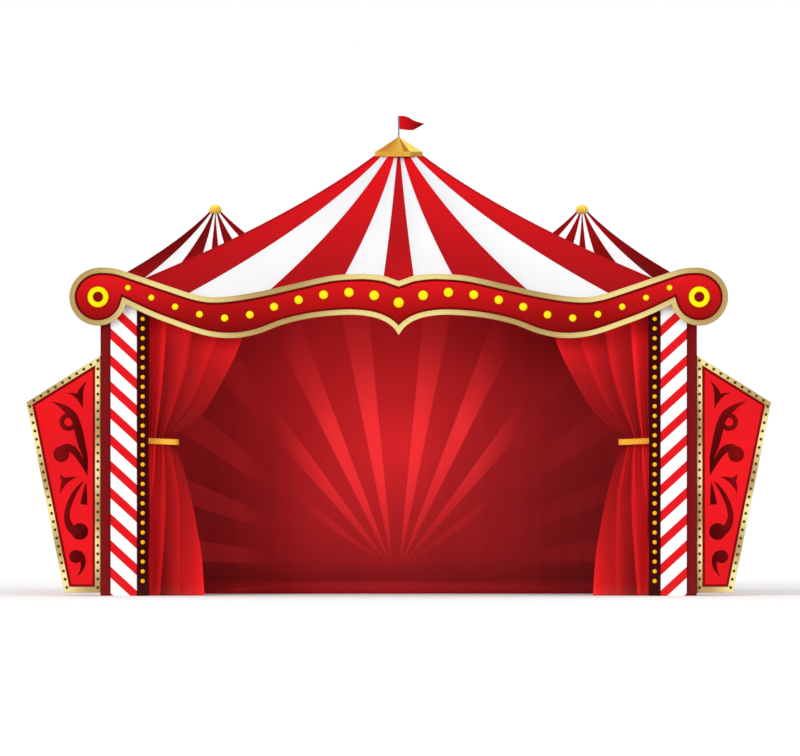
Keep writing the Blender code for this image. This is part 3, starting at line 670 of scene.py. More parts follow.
def paint_material(name, colour_of, roughness=0.42, wear=0.15, dust=0.03, specular=0.04, shown=BRIGHT_RED):
    """Brushed gloss paint over timber. colour_of gives its colour from the tree and its object
    coordinates, and shown is what worn spots show."""
    material, tree, shader, place, u, v = open_material(name, roughness, specular=specular)
    brush = effect(tree, "Brushed paint", {"Vector": place, "Wear": wear})
    toned = shaded(tree, colour_of(tree, place), span(tree, brush["Tone"], 0.3, 0.7, 0.94, 1.0))
    colour = dusty(tree, mixed(tree, brush["Worn"], toned, shown), place, dust, 0.4)
    gloss = span(tree, brush["Tone"], 0.3, 0.7, roughness - 0.05, roughness + 0.08)
    feed(tree, shader, colour=colour, roughness=gloss, normal=bump(tree, brush["Height"], 0.0007, 0.3))
    return material


def front_paint(name, red, green, blue, wear=0.05, **options):
    """Gloss paint that shows as this colour on the front, slightly deeper where the brush laid it thick."""
    tint, deep = srgb(red, green, blue, FRONT_LIGHT), srgb(red, green, blue, FRONT_LIGHT * 1.15)

    def tinted(tree, place):
        return mixed(tree, span(tree, noise(tree, place, 0.8, 2.0), 0.35, 0.7), tint, deep)
    return paint_material(name, tinted, wear=wear, **options)


def show_board_paint(name):
    """Painted light and shade: a red that is brightest at the top, z = 3.85 m, and deepens down to 3.15 m, as
    if lit from above.
    """
    def graded(tree, place):
        height = span(tree, split(tree, place)["Z"], 3.15, 3.85)
        return ramp(tree, height, stops(FRONT_LIGHT * 1.03, (0.0, 126, 1, 2), (0.3, 160, 6, 8),
                                        (0.5, 180, 10, 13), (0.8, 212, 17, 22), (1.0, 228, 20, 27)))
    return paint_material(name, graded, roughness=0.38, wear=0.05)


def scroll_paint(name):
    """Maroon that deepens from the wing's outside, |x| = 4.06 m, towards the pillar, |x| = 3.74 m."""
    def graded(tree, place):
        out = span(tree, maths(tree, "ABSOLUTE", split(tree, place)["X"]), 3.74, 4.06)
        return ramp(tree, out, stops(FRONT_LIGHT, (0.0, 72, 1, 2), (1.0, 122, 9, 13)))
    return paint_material(name, graded, roughness=0.5, wear=0.01, specular=0.02, shown=SHADOW_AND_WORN_GOLD)


def candy_paint(name):
    """Slanting stripes: red where the fraction of (z - lean |x|) / pitch - phase is under the red share."""
    def striped(tree, place):
        parts = split(tree, place)
        half = CANDY_RED / 2.0
        lean = maths(tree, "MULTIPLY_ADD", maths(tree, "ABSOLUTE", parts["X"]), -CANDY_LEAN, parts["Z"])
        turn = maths(tree, "FRACT", maths(tree, "MULTIPLY_ADD", lean, 1.0 / CANDY_PITCH, 20.0 - CANDY_PHASE))
        near = maths(tree, "ABSOLUTE", maths(tree, "SUBTRACT", turn, half))
        wrapped = maths(tree, "MINIMUM", near, maths(tree, "SUBTRACT", 1.0, near))
        red = span(tree, wrapped, half - 0.004, half + 0.004, 1.0, 0.0)
        return mixed(tree, red, CANVAS_WHITE, srgb(228, 21, 29, FRONT_LIGHT))
    return paint_material(name, striped, roughness=0.45, wear=0.04, shown=CANVAS_GREY)


def gilt_material(name, light, shadow_tint, period, roughness=0.42, metallic=0.4):
    """Leafed gold: u runs along the moulding in metres, and the tone, a painted reflection, waves along
    it. Without a period, u is the tone itself, painted light and shade, from the shadow tint at 0 to
    bright at 1."""
    material, tree, shader, place, u, v = open_material(name, roughness, metallic, 0.2)
    leaf = effect(tree, "Gold leaf", {"Vector": place, "Along": u, "Period": period or 1.0})
    given = maths(tree, "MULTIPLY_ADD", leaf["Grain"], 0.2, maths(tree, "ADD", u, -0.1))
    tone = leaf["Tone"] if period else given
    colour = mixed(tree, span(tree, tone, 0.08, 0.92), shadow_tint, light)
    rough = span(tree, leaf["Grain"], 0.3, 0.7, roughness - 0.06, roughness + 0.10)
    feed(tree, shader, colour=colour, roughness=rough, normal=bump(tree, leaf["Grain"], 0.0006, 0.3))
    return material


def lamp_glass(name, tint, glow):
    """Coloured globe glass with its own light, deeper in colour towards the collar, v = 1."""
    material, tree, shader, place, u, v = open_material(name, 0.35, specular=0.1)
    shader.inputs["Coat Weight"].default_value = 0.04
    shader.inputs["Emission Strength"].default_value = glow
    deep = (tint[0] * 0.9, tint[1] * 0.72, tint[2] * 0.5, 1.0)
    colour = mixed(tree, span(tree, v, 0.55, 1.0), tint, deep)
    swirl = noise(tree, place, 60.0, 2.0)
    feed(tree, shader, colour=colour, glow=colour, normal=bump(tree, swirl, 0.0003, 0.2))
    return material


def deeper(tint, share):
    """A tint taken down to a share of itself."""
    return tuple(part * share for part in tint[:3]) + (1.0,)


def metal_material(name, tint, roughness, metallic=1.0):
    """Plain metal with a fine drawn grain and duller patches."""
    material, tree, shader, place, u, v = open_material(name, roughness, metallic)
    grain = noise(tree, stretched(tree, place, (70.0, 70.0, 6.0)), 1.0, 4.0, 0.6)
    dull = noise(tree, place, 6.0, 4.0)
    feed(tree, shader, colour=mixed(tree, span(tree, dull, 0.35, 0.75), tint, deeper(tint, 0.62)),
         roughness=span(tree, dull, 0.3, 0.7, roughness, roughness + 0.18),
         normal=bump(tree, grain, 0.0004, 0.25))
    return material


def timber_material(name, tint, under):
    """Painted timber: grain shows through as bump and tone, and the paint has worn thin in spots."""
    material, tree, shader, place, u, v = open_material(name, 0.55, specular=0.3)
    grain = effect(tree, "Timber grain", {"Vector": place})
    brush = effect(tree, "Brushed paint", {"Vector": place, "Wear": 0.5})
    colour = mixed(tree, span(tree, grain["Tone"], 0.3, 0.7), tint, deeper(tint, 0.7))
    worn = mixed(tree, brush["Worn"], colour, under)
    feed(tree, shader, colour=dusty(tree, worn, place, 0.3), normal=bump(tree, grain["Height"], 0.001, 0.4))
    return material


def pennant_cloth(name):
    """Red bunting that darkens towards the fly, u = 1."""
    material, tree, shader, place, u, v = open_material(name, 0.8, specular=0.05)
    weave = effect(tree, "Canvas weave", {"Vector": place, "Pitch": 0.003})
    reds = stops(1.12, (0.0, 204, 14, 18), (0.3, 178, 10, 14), (0.6, 150, 6, 9), (1.0, 80, 1, 3))
    colour = shaded(tree, ramp(tree, u, reds), span(tree, weave["Slub"], 0.35, 0.65, 0.92, 1.0))
    feed(tree, shader, colour=colour, normal=bump(tree, weave["Height"], 0.0005, 0.4))
    return material


FINISHES = {
    "Striped canvas": main_canvas,
    "Left pavilion canvas": left_pavilion_canvas,
    "Right pavilion canvas": right_pavilion_canvas,
    # The pavilions' walls are a darker red: painted shade, like their roofs
    "Pavilion wall canvas": lambda name: hanging_canvas(name, (150, 10, 17), (120, 7, 12), dust=0.25),
    "Wall canvas": lambda name: hanging_canvas(name, (206, 22, 30), (178, 18, 26), dust=0.25),
    "Scallop cloth": lambda name: hanging_canvas(name, (206, 22, 30), (234, 24, 32), pitch=0.004),
    "Curtain velvet": velvet,
    "Sunburst cloth": sunburst_cloth,
    "Pennant cloth": pennant_cloth,
    "Show board red": show_board_paint,
    "Scroll maroon": scroll_paint,
    "Candy stripes": candy_paint,
    # Dark red of the show board's cove: the rim's painted shadow
    "Cove shadow red": lambda name: front_paint(name, 126, 0, 3),
    "Hub red": lambda name: front_paint(name, 142, 2, 14),
    # Dark red of the wings' bevels: the frames' painted shadow
    "Bevel shadow red": lambda name: front_paint(name, 139, 0, 6),
    "Wing red": lambda name: front_paint(name, 237, 22, 30),
    "Lamp board maroon": lambda name: front_paint(name, 61, 1, 3, roughness=0.55, specular=0.03),
    "Pillar maroon": lambda name: front_paint(name, 125, 15, 18, roughness=0.5),
    "Socket red": lambda name: front_paint(name, 70, 3, 5),
    "Scroll yellow": lambda name: front_paint(name, 254, 243, 6, shown=BROWN_GOLD),
    "Hip cord": lambda name: front_paint(name, 186, 22, 29, roughness=0.8),
    # Dark hip cord: its darker red is painted shade, matching the pavilions' roofs
    "Dark hip cord": lambda name: front_paint(name, 146, 12, 16, roughness=0.8),
    "Hem webbing": lambda name: front_paint(name, 214, 206, 200, roughness=0.8, shown=DUST),
    "Pale gilt": lambda name: gilt_material(name, PALE_GOLD, SHADOW_AND_WORN_GOLD, 1.0),
    "Rim gilt": lambda name: gilt_material(name, PALE_GOLD, SHADOW_AND_WORN_GOLD, None),
    "Wing gilt": lambda name: gilt_material(name, srgb(220, 206, 142), srgb(167, 142, 89), None),
    "Tie gilt": lambda name: gilt_material(name, srgb(232, 168, 50), srgb(224, 158, 43), 0.5, 0.6, 0.1),
    "Cap gilt": lambda name: gilt_material(name, srgb(255, 232, 96), BROWN_GOLD, None, 0.5, 0.15),
    "Yellow lamp glass": lambda name: lamp_glass(name, srgb(222, 201, 0), 0.1),
    "Amber lamp glass": lambda name: lamp_glass(name, srgb(222, 162, 12), 0.1),
    "Bronze nails": lambda name: metal_material(name, srgb(72, 52, 24), 0.45, 0.6),
    "Brass": lambda name: metal_material(name, srgb(214, 170, 84), 0.3),
    "Galvanised steel": lambda name: metal_material(name, srgb(176, 178, 186), 0.42),
    "Grey steel": lambda name: metal_material(name, srgb(148, 140, 144), 0.45),
    "Painted timber": lambda name: timber_material(name, srgb(120, 14, 18), srgb(150, 112, 76)),
    "Red timber": lambda name: timber_material(name, srgb(158, 18, 24), srgb(150, 112, 76)),
}


def finish(name):
    """The finish with this name, made on its first use."""
    return bpy.data.materials.get(name) or FINISHES[name](name)


def metres(label, about, default, low=0.0, high=1.0):
    """A length that a user can set."""
    return FloatProperty(name=label, description=about, default=default, min=low, max=high, unit="LENGTH")


def lamp_count(label, about, default):
    """A number of lamps that a user can set."""
    return IntProperty(name=label, description=about, default=default, min=1)


def light_strength(label, about, default):
    """A strength of light that a user can set."""
    return FloatProperty(name=label, description=about, default=default, min=0.0)


class BigTopCanvas(bpy.types.PropertyGroup):
    """Sizes of the tent's cloth."""
    thickness: metres("Cloth thickness", "Thickness of the roof and wall canvas", 0.003, 0.001, 0.01)
    seam_height: metres("Seam height", "How far a lapped seam stands off the roof", 0.0035, high=0.01)
    seam_width: metres("Seam width", "Half the width of a lapped seam", 0.0225, 0.005, 0.06)
    sag: metres("Gore sag", "How far the roof dips between two seams", 0.022, high=0.05)
    ripple: metres("Wall ripple", "How far the walls swing in and out", 0.007, high=0.03)
    wall_stripe: metres("Wall stripe", "Width of one stripe of the walls", 0.350, 0.1)
    scallop: metres("Scallop depth", "Depth of a scallop of the hanging edge", 0.060, high=0.15)


class BigTopFront(bpy.types.PropertyGroup):
    """Sizes of the painted and gilded front."""
    lamp_radius: metres("Middle lamp radius", "Radius of the middle lamp of the board", 0.0670, 0.02, 0.1)
    lamp_pairs: lamp_count("Lamp pairs", "Lamps each side of the middle one", 11)
    strip_radius: metres("Strip lamp radius", "Radius of the lamps up the pillars", 0.027, 0.01, 0.05)
    strip_lamps: lamp_count("Strip lamps", "Lamps up each pillar", 28)
    nail_radius: metres("Nail radius", "Radius of a nail head on the wing frames", 0.0195, 0.004, 0.03)
    nail_pitch: metres("Nail pitch", "Distance between two nail heads", 0.1015, 0.03, 0.3)
    relief: metres("Scroll relief", "How far the carved scrolls stand off the wings", 0.014, 0.002, 0.04)


class BigTopStage(bpy.types.PropertyGroup):
    """Sizes of the curtains and the back cloth."""
    fold_depth: metres("Fold depth", "How far a curtain fold stands forward", 0.032, high=0.1)
    cloth: metres("Velvet thickness", "Thickness of the curtains", 0.004, 0.001, 0.01)
    backdrop_swing: metres("Back cloth swing", "Depth of the back cloth's soft folds", 0.008, high=0.015)


class BigTopStudio(bpy.types.PropertyGroup):
    """Camera and light."""
    lens: FloatProperty(name="Lens", description="Focal length of the camera, in millimetres", default=750.0,
                        min=50.0)
    sensor: FloatProperty(name="Sensor", description="Sensor width, in millimetres", default=18.0, min=8.0)
    pixel: metres("Pixel size", "Width of one pixel at the front", PIXEL, 0.001)
    aim: FloatVectorProperty(name="Aim", description="Point in the middle of the picture",
                             default=(0.0156, 0.0, 2.616), subtype="XYZ", unit="LENGTH")
    tilt: FloatProperty(name="Tilt", description="How far the camera looks down", default=math.radians(0.33),
                        subtype="ANGLE")
    sky: light_strength("Sky", "Strength of the even light from all round", 0.89)
    key: light_strength("Key", "Strength of the wide light from the front left", 1.5)
    fill: light_strength("Fill", "Strength of the wide light from the front right", 0.9)
    floor: FloatVectorProperty(name="Floor", description="Colour of the floor", subtype="COLOR",
                               default=(0.95, 0.95, 0.95), min=0.0, max=1.0)


class BigTopSettings(bpy.types.PropertyGroup):
    """Everything that a user would change."""
    canvas: PointerProperty(type=BigTopCanvas)
    front: PointerProperty(type=BigTopFront)
    stage: PointerProperty(type=BigTopStage)
    studio: PointerProperty(type=BigTopStudio)


def tube(path, radius, sides, up=(0.0, 0.0, 1.0)):
    """A round section carried along a path: centre + r (cos a across + sin a up'), where across is
    the path's direction crossed with up. Each end closes in a pole; u is metres along the path."""
    path = np.asarray(path, float)
    heading = unit(np.gradient(path, axis=0))
    across = unit(np.cross(heading, up))
    over = np.cross(across, heading)
    ends = np.concatenate([[0], np.arange(len(path)), [-1]])
    reach = np.full(len(path), radius)[ends, None, None]
    reach[[0, -1]] = 0.0
    angle = np.linspace(0.0, 2.0 * np.pi, sides + 1)[:, None]
    ring = np.cos(angle) * across[ends, None] + np.sin(angle) * over[ends, None]
    uvs = stacked(along(path)[ends, None], np.linspace(0.0, 1.0, sides + 1))
    return patch(path[ends, None] + reach * ring, uvs)


def turned(profile, sides, places, forward=True, scale=1.0):
    """A profile of (radius, height) turned round an axis at each place: r cos a, r sin a, height.

    The axis points to the front, -Y, or up. v runs from the profile's start to its end.
    """
    profile = np.asarray(profile, float)
    angle = np.linspace(0.0, 2.0 * np.pi, sides + 1)
    c, s = profile[:, :1] * np.cos(angle), profile[:, :1] * np.sin(angle)
    h = np.broadcast_to(profile[:, 1:], c.shape)
    base = np.stack([c, -h, s] if forward else [c, s, h], axis=-1)
    scale = np.reshape(np.asarray(scale, float), (-1, 1, 1, 1))
    return patch(base[None] * scale + np.asarray(places, float)[:, None, None, :])


def dome(radius, height, steps):
    """Profile of a dome: (r sin a, h cos a) from its pole, closed flat underneath."""
    angle = np.linspace(0.0, np.pi / 2.0, steps)
    arc = np.column_stack([radius * np.sin(angle), height * np.cos(angle)])
    return np.vstack([arc, [(radius, 0.0), (0.0, 0.0)]])


def seam_shares(edges, v):
    """Front seams as shares of the half width, at each v down the slope: the four given pairs of
    crown and eave shares, each eased from one to the other, then the hip at 1."""
    eased = np.column_stack([start + (end - start) * (1.0 - np.exp(-rate * v)) / (1.0 - math.exp(-rate))
                             for start, end, rate in edges] + [np.ones_like(v)])
    return np.hstack([-eased[:, ::-1], eased])


def canopy_grid(half_eave, half_crown, slope, eave_z, crown_z, ratio, middle, front, sides, settings):
    """A hipped canopy as one sheet wound round its four faces, gore after gore.

    At a fall f the half width is crown + slope f + rest f2, and the half depth is that times ratio.
    A point lies on its face at a share of the half width, moved along the face's outward normal:
    out by the seam height beside a seam, in by sag sin(pi t) between seams, with small puckers
    cos(6 pi t) at the crown and sin(8 pi t) at the eave.
    """
    rows = len(front)
    v = np.linspace(0.0, 1.0, rows)
    drop = crown_z - eave_z
    fall = drop * v
    rest = (half_eave - half_crown - slope * drop) / drop ** 2
    half = half_crown + slope * fall + rest * fall ** 2
    steep = slope + 2.0 * rest * fall
    inner = np.linspace(0.0, 1.0, 10)[1:-1]
    seam, points, uvs, gore = settings.seam_width, [], [], 0
    for face, shares in enumerate((front, sides, front, sides)):
        flat, deep = (1.0, ratio) if face % 2 == 0 else (ratio, 1.0)
        turn = np.pi / 2.0 * face
        across = np.array([math.cos(turn), math.sin(turn), 0.0])
        out = np.array([math.sin(turn), -math.cos(turn), 0.0])
        lean = unit(np.column_stack([np.ones(rows), deep * steep]))
        normal = lean[:, :1] * out + lean[:, 1:] * (0.0, 0.0, 1.0)
        for k in range(shares.shape[1] - 1):
            left, right = shares[:, k], shares[:, k + 1]
            width = (right - left) * half * flat
            e = (np.minimum(seam, 0.2 * width) / width)[:, None]
            t = np.hstack([0.0 * e, e, 1.5 * e, 1.5 * e + (1.0 - 3.0 * e) * inner, 1.0 - 1.5 * e, 1.0 - e])
            ridge = np.zeros_like(t)
            ridge[:, 0] = 1.0 if k > 0 else 0.0
            ridge[:, (1, -1)] = 1.0
            inside = np.clip((t - 1.5 * e) / (1.0 - 3.0 * e), 0.0, 1.0)
            hold = (0.25 + 0.75 * np.sin(np.pi * v ** 0.8)) * np.minimum(1.0, width / 0.7)
            lift = ridge * settings.seam_height - settings.sag * hold[:, None] * np.sin(np.pi * inside)
            pucker = 0.0024 * np.exp(-v / 0.07)[:, None] * (np.cos(6.0 * np.pi * inside) - 1.0)
            pull = 0.0030 * np.exp((v - 1.0) / 0.08)[:, None] * np.sin(8.0 * np.pi * inside)
            lift = lift + (pucker - np.abs(pull)) * (inside > 0.0) * (inside < 1.0)
            place = (left[:, None] + (right - left)[:, None] * t) * (half * flat)[:, None]
            axis = stacked(middle[0], middle[1], crown_z - fall)
            base = (axis + (half * deep)[:, None] * out)[:, None] + place[..., None] * across
            points.append(base + lift[..., None] * normal[:, None])
            uvs.append(stacked(gore + t, v[:, None]))
            gore += 1
    points, uvs = np.concatenate(points, axis=1), np.concatenate(uvs, axis=1)
    last = uvs[:, :1] + (gore, 0.0)
    return np.concatenate([points, points[:, :1]], 1), np.concatenate([uvs, last], 1), half


def hip_tubes(half, ratio, middle, crown_z, eave_z, radius, lift):
    """A rope in its webbing down each hip, from the crown to the eave, just off the cloth."""
    fall = np.linspace(0.0, crown_z - eave_z, len(half))
    tubes = []
    for sign_x, sign_y in ((1, -1), (1, 1), (-1, 1), (-1, -1)):
        x = middle[0] + sign_x * (half - lift)
        y = middle[1] + sign_y * (half * ratio - lift)
        path = stacked(x, y, crown_z - fall + lift)
        tubes.append(tube(path, radius, 8, up=(-sign_y, sign_x, 0.0)))
    return tubes


# Seams of a front, from its middle outwards: shares of the half width at the crown and at the eave,
# and how fast one eases into the other
FRONT_SEAMS = ((0.066, 0.0605, 1.0), (0.175, 0.2216, 3.5), (0.475, 0.460, 1.0), (0.726, 0.728, 1.0))
TOWER_SEAMS = ((0.054, 0.080, 1.0), (0.213, 0.213, 1.0), (0.474, 0.474, 1.0), (0.745, 0.722, 1.0))

# Gores of a side, rows of points down the two kinds of roof, and their hip cords: the radius, and
# how far the middle lies off the cloth
SIDE_GORES = 7
CANOPY_ROWS = 72
TOWER_ROWS = 40
HIP_CORD = (0.015, 0.004)
TOWER_HIP_CORD = (0.011, 0.003)

# Walls: how far they end above the ground and the cloth that a metre of beam takes. Pavilion walls:
# how far inside their frame they hang, and their stripe. Scallops: the width of one, and its sway
WALL_CLEAR = 0.004
TOWER_WALL_INSET = 0.010
TOWER_STRIPE = 0.2875
SCALLOP_BAY = 0.350
SCALLOP_SWAY = 0.004

FACES = ("front", "back", "left", "right")
TOWERS = (("left", -TOWER_X), ("right", TOWER_X))


class BIGTOP_OT_main_canopy(bpy.types.Operator):
    """Main roof: one striped sheet of 32 gores with lapped seams, and its hip ropes"""
    bl_idname = "bigtop.main_canopy"
    bl_label = "Main canopy"

    def execute(self, context):
        settings = context.scene.big_top.canvas
        v = np.linspace(0.0, 1.0, CANOPY_ROWS)
        sides = np.broadcast_to(np.linspace(-1.0, 1.0, SIDE_GORES + 1), (CANOPY_ROWS, SIDE_GORES + 1))
        points, uvs, half = canopy_grid(EAVE_HALF, CROWN_HALF, CROWN_SLOPE, EAVE_Z, CROWN_Z, CANOPY_RATIO,
                                        (0.0, CANOPY_Y), seam_shares(FRONT_SEAMS, v), sides, settings)
        nodes = [f"main_canopy_{face}" for face in FACES]
        cloth = sheet("main_canopy_cloth", [patch(points[::-1], uvs[::-1])], "Striped canvas",
                      "striped_canvas", *nodes, thickness=settings.thickness, offset=-1.0)
        ropes = hip_tubes(half, CANOPY_RATIO, (0.0, CANOPY_Y), CROWN_Z, EAVE_Z, *HIP_CORD)
        solid("main_canopy_hip_ropes", ropes, "Hip cord", "striped_canvas")
        return {"FINISHED"}


class BIGTOP_OT_towers(bpy.types.Operator):
    """Pavilion roofs: a striped sheet of 36 gores each, with hip ropes"""
    bl_idname = "bigtop.towers"
    bl_label = "Pavilion canopies"

    def execute(self, context):
        settings = context.scene.big_top.canvas
        shares = seam_shares(TOWER_SEAMS, np.linspace(0.0, 1.0, TOWER_ROWS))
        for side, x in TOWERS:
            points, uvs, half = canopy_grid(TOWER_EAVE_HALF, TOWER_CROWN_HALF, TOWER_CROWN_SLOPE,
                                            TOWER_EAVE_Z, TOWER_CROWN_Z, 1.0, (x, TOWER_Y), shares, shares,
                                            settings)
            nodes = [f"tower_canopy_{side}_{face}" for face in FACES]
            cloth = sheet(f"tower_canopy_cloth_{side}", [patch(points[::-1], uvs[::-1])],
                          f"{side.title()} pavilion canvas", "striped_canvas", *nodes,
                          thickness=settings.thickness, offset=-1.0)
            ropes = hip_tubes(half, 1.0, (x, TOWER_Y), TOWER_CROWN_Z, TOWER_EAVE_Z, *TOWER_HIP_CORD)
            solid(f"tower_hip_ropes_{side}", ropes, "Dark hip cord", "striped_canvas")
        return {"FINISHED"}


def hung_points(line, s, t, off, low_z, high_z):
    """A hanging sheet at a share s of its line and t of its fall, moved outwards by off, and the
    outward direction: to the right of the way the line runs."""
    start, end = np.array(line, float)
    out = np.array([end[1] - start[1], start[0] - end[0]]) / np.linalg.norm(end - start)
    plan = (start + (end - start) * s[:, None])[None] + off[..., None] * out
    return stacked(plan[..., 0], plan[..., 1], high_z + (low_z - high_z) * t), out


def wall_grid(line, low_z, high_z, settings, rows=40, per_stripe=8, stripe=None):
    """A hanging wall that swings out by ripple sin(pi s stripes) plus a slower swing, both fading at
    the top and at the ends. u counts its stripes, and v runs down it."""
    stripes = max(2, round(math.dist(*line) / (stripe or settings.wall_stripe)))
    s = np.linspace(0.0, 1.0, stripes * per_stripe + 1)
    t = np.linspace(0.0, 1.0, rows)[:, None]
    fade = np.sin(np.pi * s) ** 0.35
    swing = np.sin(np.pi * s * stripes) + 0.45 * np.sin(2.0 * np.pi * s * 3.3 + 0.9 + 1.4 * t)
    off = settings.ripple * swing * fade * (0.25 + 0.75 * np.sqrt(t))
    return hung_points(line, s, t, off, low_z, high_z)[0], stacked(s * stripes, t)


def hung_line(name):
    """Ends of a side's or the back's cloth in plan, with its outside on the right of the way it
    runs, and its foot and head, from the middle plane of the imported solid."""
    low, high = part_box(name)
    x, y = (low.x + high.x) / 2.0, (low.y + high.y) / 2.0
    line = [(high.x, y), (low.x, y)] if "back" in name else [(x, low.y), (x, high.y)]
    if "left" in name:
        line.reverse()
    return line, low.z, high.z


class BIGTOP_OT_walls(bpy.types.Operator):
    """Canvas walls of the tent and the pavilions, rippled and striped, with hem ropes"""
    bl_idname = "bigtop.walls"
    bl_label = "Canvas walls"

    def execute(self, context):
        settings = context.scene.big_top.canvas
        for side, x in TOWERS:
            self.hang(f"side_wall_cloth_{side}", f"side_wall_{side}", settings, f"side_beam_{side}")
            self.tower(side, x, settings)
        self.hang("back_wall_cloth", "back_wall", settings, "back_beam")
        return {"FINISHED"}

    def hang(self, name, node_name, settings, beam):
        """One wall, and its hem rope along the ground."""
        line, low_z, high_z = hung_line(node_name)
        points, uvs = wall_grid(line, low_z + WALL_CLEAR, high_z, settings)
        cloth = sheet(name, [patch(points, uvs)], "Wall canvas", "striped_canvas", node_name,
                      thickness=settings.thickness)
        hem = tube(points[-1] + (0.0, 0.0, 0.010), 0.010, 8)
        rope = solid(f"{name}_hem", [hem], "Hem webbing", "striped_canvas")

    def tower(self, side, x, settings):
        """The four walls of a pavilion as one sheet wound round its corners."""
        h = TOWER_HALF - TOWER_WALL_INSET
        corners = [(x - h, TOWER_Y - h), (x + h, TOWER_Y - h), (x + h, TOWER_Y + h), (x - h, TOWER_Y + h)]
        sizes = (WALL_CLEAR, TOWER_WALL_HIGH.z, settings, 34, 6, TOWER_STRIPE)
        grids = [wall_grid((corners[k], corners[(k + 1) % 4]), *sizes) for k in range(4)]
        walls = [patch(points, uvs + (8.0 * k, 0.0)) for k, (points, uvs) in enumerate(grids)]
        cloth = sheet(f"tower_wall_cloth_{side}", walls, "Pavilion wall canvas", "striped_canvas",
                      f"tower_wall_{side}", thickness=settings.thickness)
        hems = [tube(points[-1] + (0.0, 0.0, 0.008), 0.009, 8) for points, _ in grids]
        rope = solid(f"tower_wall_hem_{side}", hems, "Hem webbing", "striped_canvas")


class BIGTOP_OT_valances(bpy.types.Operator):
    """Scalloped hanging edges below the side and back eaves, each trimmed with gold cord"""
    bl_idname = "bigtop.valances"
    bl_label = "Scalloped edges"

    def execute(self, context):
        settings = context.scene.big_top.canvas
        for name, beam in (("valance_left", "side_beam_left"), ("valance_right", "side_beam_right"),
                           ("valance_back", "back_beam")):
            self.hang(name, settings, beam)
        return {"FINISHED"}

    def hang(self, name, settings, beam):
        """The lower edge is low + depth (1 - |sin(pi s / bay)|); the sheet sways by sin(2 pi s / bay)."""
        line, low_z, high_z = hung_line(name)
        bays = round(math.dist(*line) / SCALLOP_BAY)
        s = np.linspace(0.0, 1.0, bays * 16 + 1)
        t = np.linspace(0.0, 1.0, 10)[:, None]
        foot = low_z + settings.scallop * (1.0 - np.abs(np.sin(np.pi * s * bays)))
        sway = SCALLOP_SWAY * np.sin(2.0 * np.pi * s * bays) * t
        points, out = hung_points(line, s, t, sway, foot, high_z)
        cloth = sheet(f"{name}_cloth", [patch(points, stacked(s * bays, t))], "Scallop cloth",
                      "striped_canvas", name, thickness=settings.thickness)
        edge = points[-1] + (0.0, 0.0, 0.004)
        head = points[1, ::8] + (0.0, 0.0, -0.004)
        cords = [tube(edge, 0.006, 6, up=(*out, 0.0)), tube(head, 0.005, 6)]
        trim = solid(f"{name}_braid", cords, "Pale gilt", "pale_gilt")


def board_half():
    """The right half of the show board's outline, clockwise from its top middle to its bottom middle:
    the smoothed top edge, a quarter ellipse over the disc, the disc's arc, and the lower edge."""
    top = smooth_line(BOARD_TOP, 12)
    lean = np.linspace(0.0, np.pi / 2.0, 20)[1:]
    side_x = DISC_X + DISC_RADIUS
    last_x, last_z = BOARD_TOP[-1]
    shoulder = np.column_stack([last_x + (side_x - last_x) * np.sin(lean),
                                DISC_Z + (last_z - DISC_Z) * np.cos(lean)])
    end = math.acos((BOARD_BOTTOM[-1][0] - DISC_X) / DISC_RADIUS)
    arc = -np.linspace(0.0, end, 60)[1:-1]
    disc = np.column_stack([DISC_X + DISC_RADIUS * np.cos(arc), DISC_Z + DISC_RADIUS * np.sin(arc)])
    return np.vstack([top, shoulder, disc, smooth_line(BOARD_BOTTOM, 12)[::-1]])


def half_rings(line, offsets):
    """Lines moved inwards by each offset, with mitred corners, for the right half of a clockwise
    outline that starts and ends on the middle plane. A point that would cross that plane
    stays on it, at the mitre of its own end."""
    step = unit(np.diff(line, axis=0))
    side = np.column_stack([step[:, 1], -step[:, 0]])
    before, after = np.vstack([side[:1] * (-1.0, 1.0), side]), np.vstack([side, side[-1:] * (-1.0, 1.0)])
    mitre = before + after
    mitre *= (2.0 / np.maximum((mitre ** 2).sum(axis=1), 0.49))[:, None]
    moved = line[None] + np.asarray(offsets, float)[:, None, None] * mitre[None]
    middle = len(line) // 2
    for rows, end in ((slice(0, middle), 0), (slice(middle, None), -1)):
        crossed = moved[:, rows, 0] < 0.0
        moved[:, rows, 1] = np.where(crossed, moved[:, end, 1][:, None], moved[:, rows, 1])
        moved[:, rows, 0] = np.maximum(moved[:, rows, 0], 0.0)
    return moved


def moulding(line, profile, tone=None):
    """A closed profile of (inward offset, depth y) carried round half of an outline. u is the tone at
    each point of the line, or the metres along it."""
    profile = np.asarray(profile, float)
    rings = half_rings(line, profile[:, 0])
    points = stacked(rings[..., 0], profile[:, 1, None], rings[..., 1])
    u = along(line) if tone is None else tone
    return patch(points, stacked(u, np.linspace(0.0, 1.0, len(profile))[:, None]))


# Profiles round the show board: how far in from its edge, and how deep behind the front, for the
# rim, or how far off the board's face, for the cove, whose dark red is the rim's painted shadow
RIM_PROFILE = ((0.0, 0.035), (0.0, 0.008), (0.003, 0.002), (0.008, 0.0), (0.013, 0.001), (0.017, 0.005),
               (0.032, 0.0065), (0.048, 0.005), (0.052, 0.001), (0.057, 0.0), (0.062, 0.002), (0.065, 0.008),
               (0.065, 0.035), (0.0, 0.035))
COVE_PROFILE = ((0.061, 0.0002), (0.061, 0.020), (0.068, 0.016), (0.077, 0.008), (0.091, 0.0022),
                (0.092, 0.0002), (0.061, 0.0002))

# Half widths at which the rim's painted highlight is brightest: the first, and how far it is to the next
RIM_HIGHLIGHT = 0.2
RIM_PITCH = 2.5


def board_lamp_places(count):
    """Places of the board's lamps: evenly spaced along the lamp line, by their numbers from the middle."""
    line = smooth_line(LAMP_LINE, 12)
    across = np.interp(abs(count) * BOARD_LAMP_SPACING, along(line), line[:, 0])
    return np.sign(count) * across, np.interp(across, line[:, 0], line[:, 1])


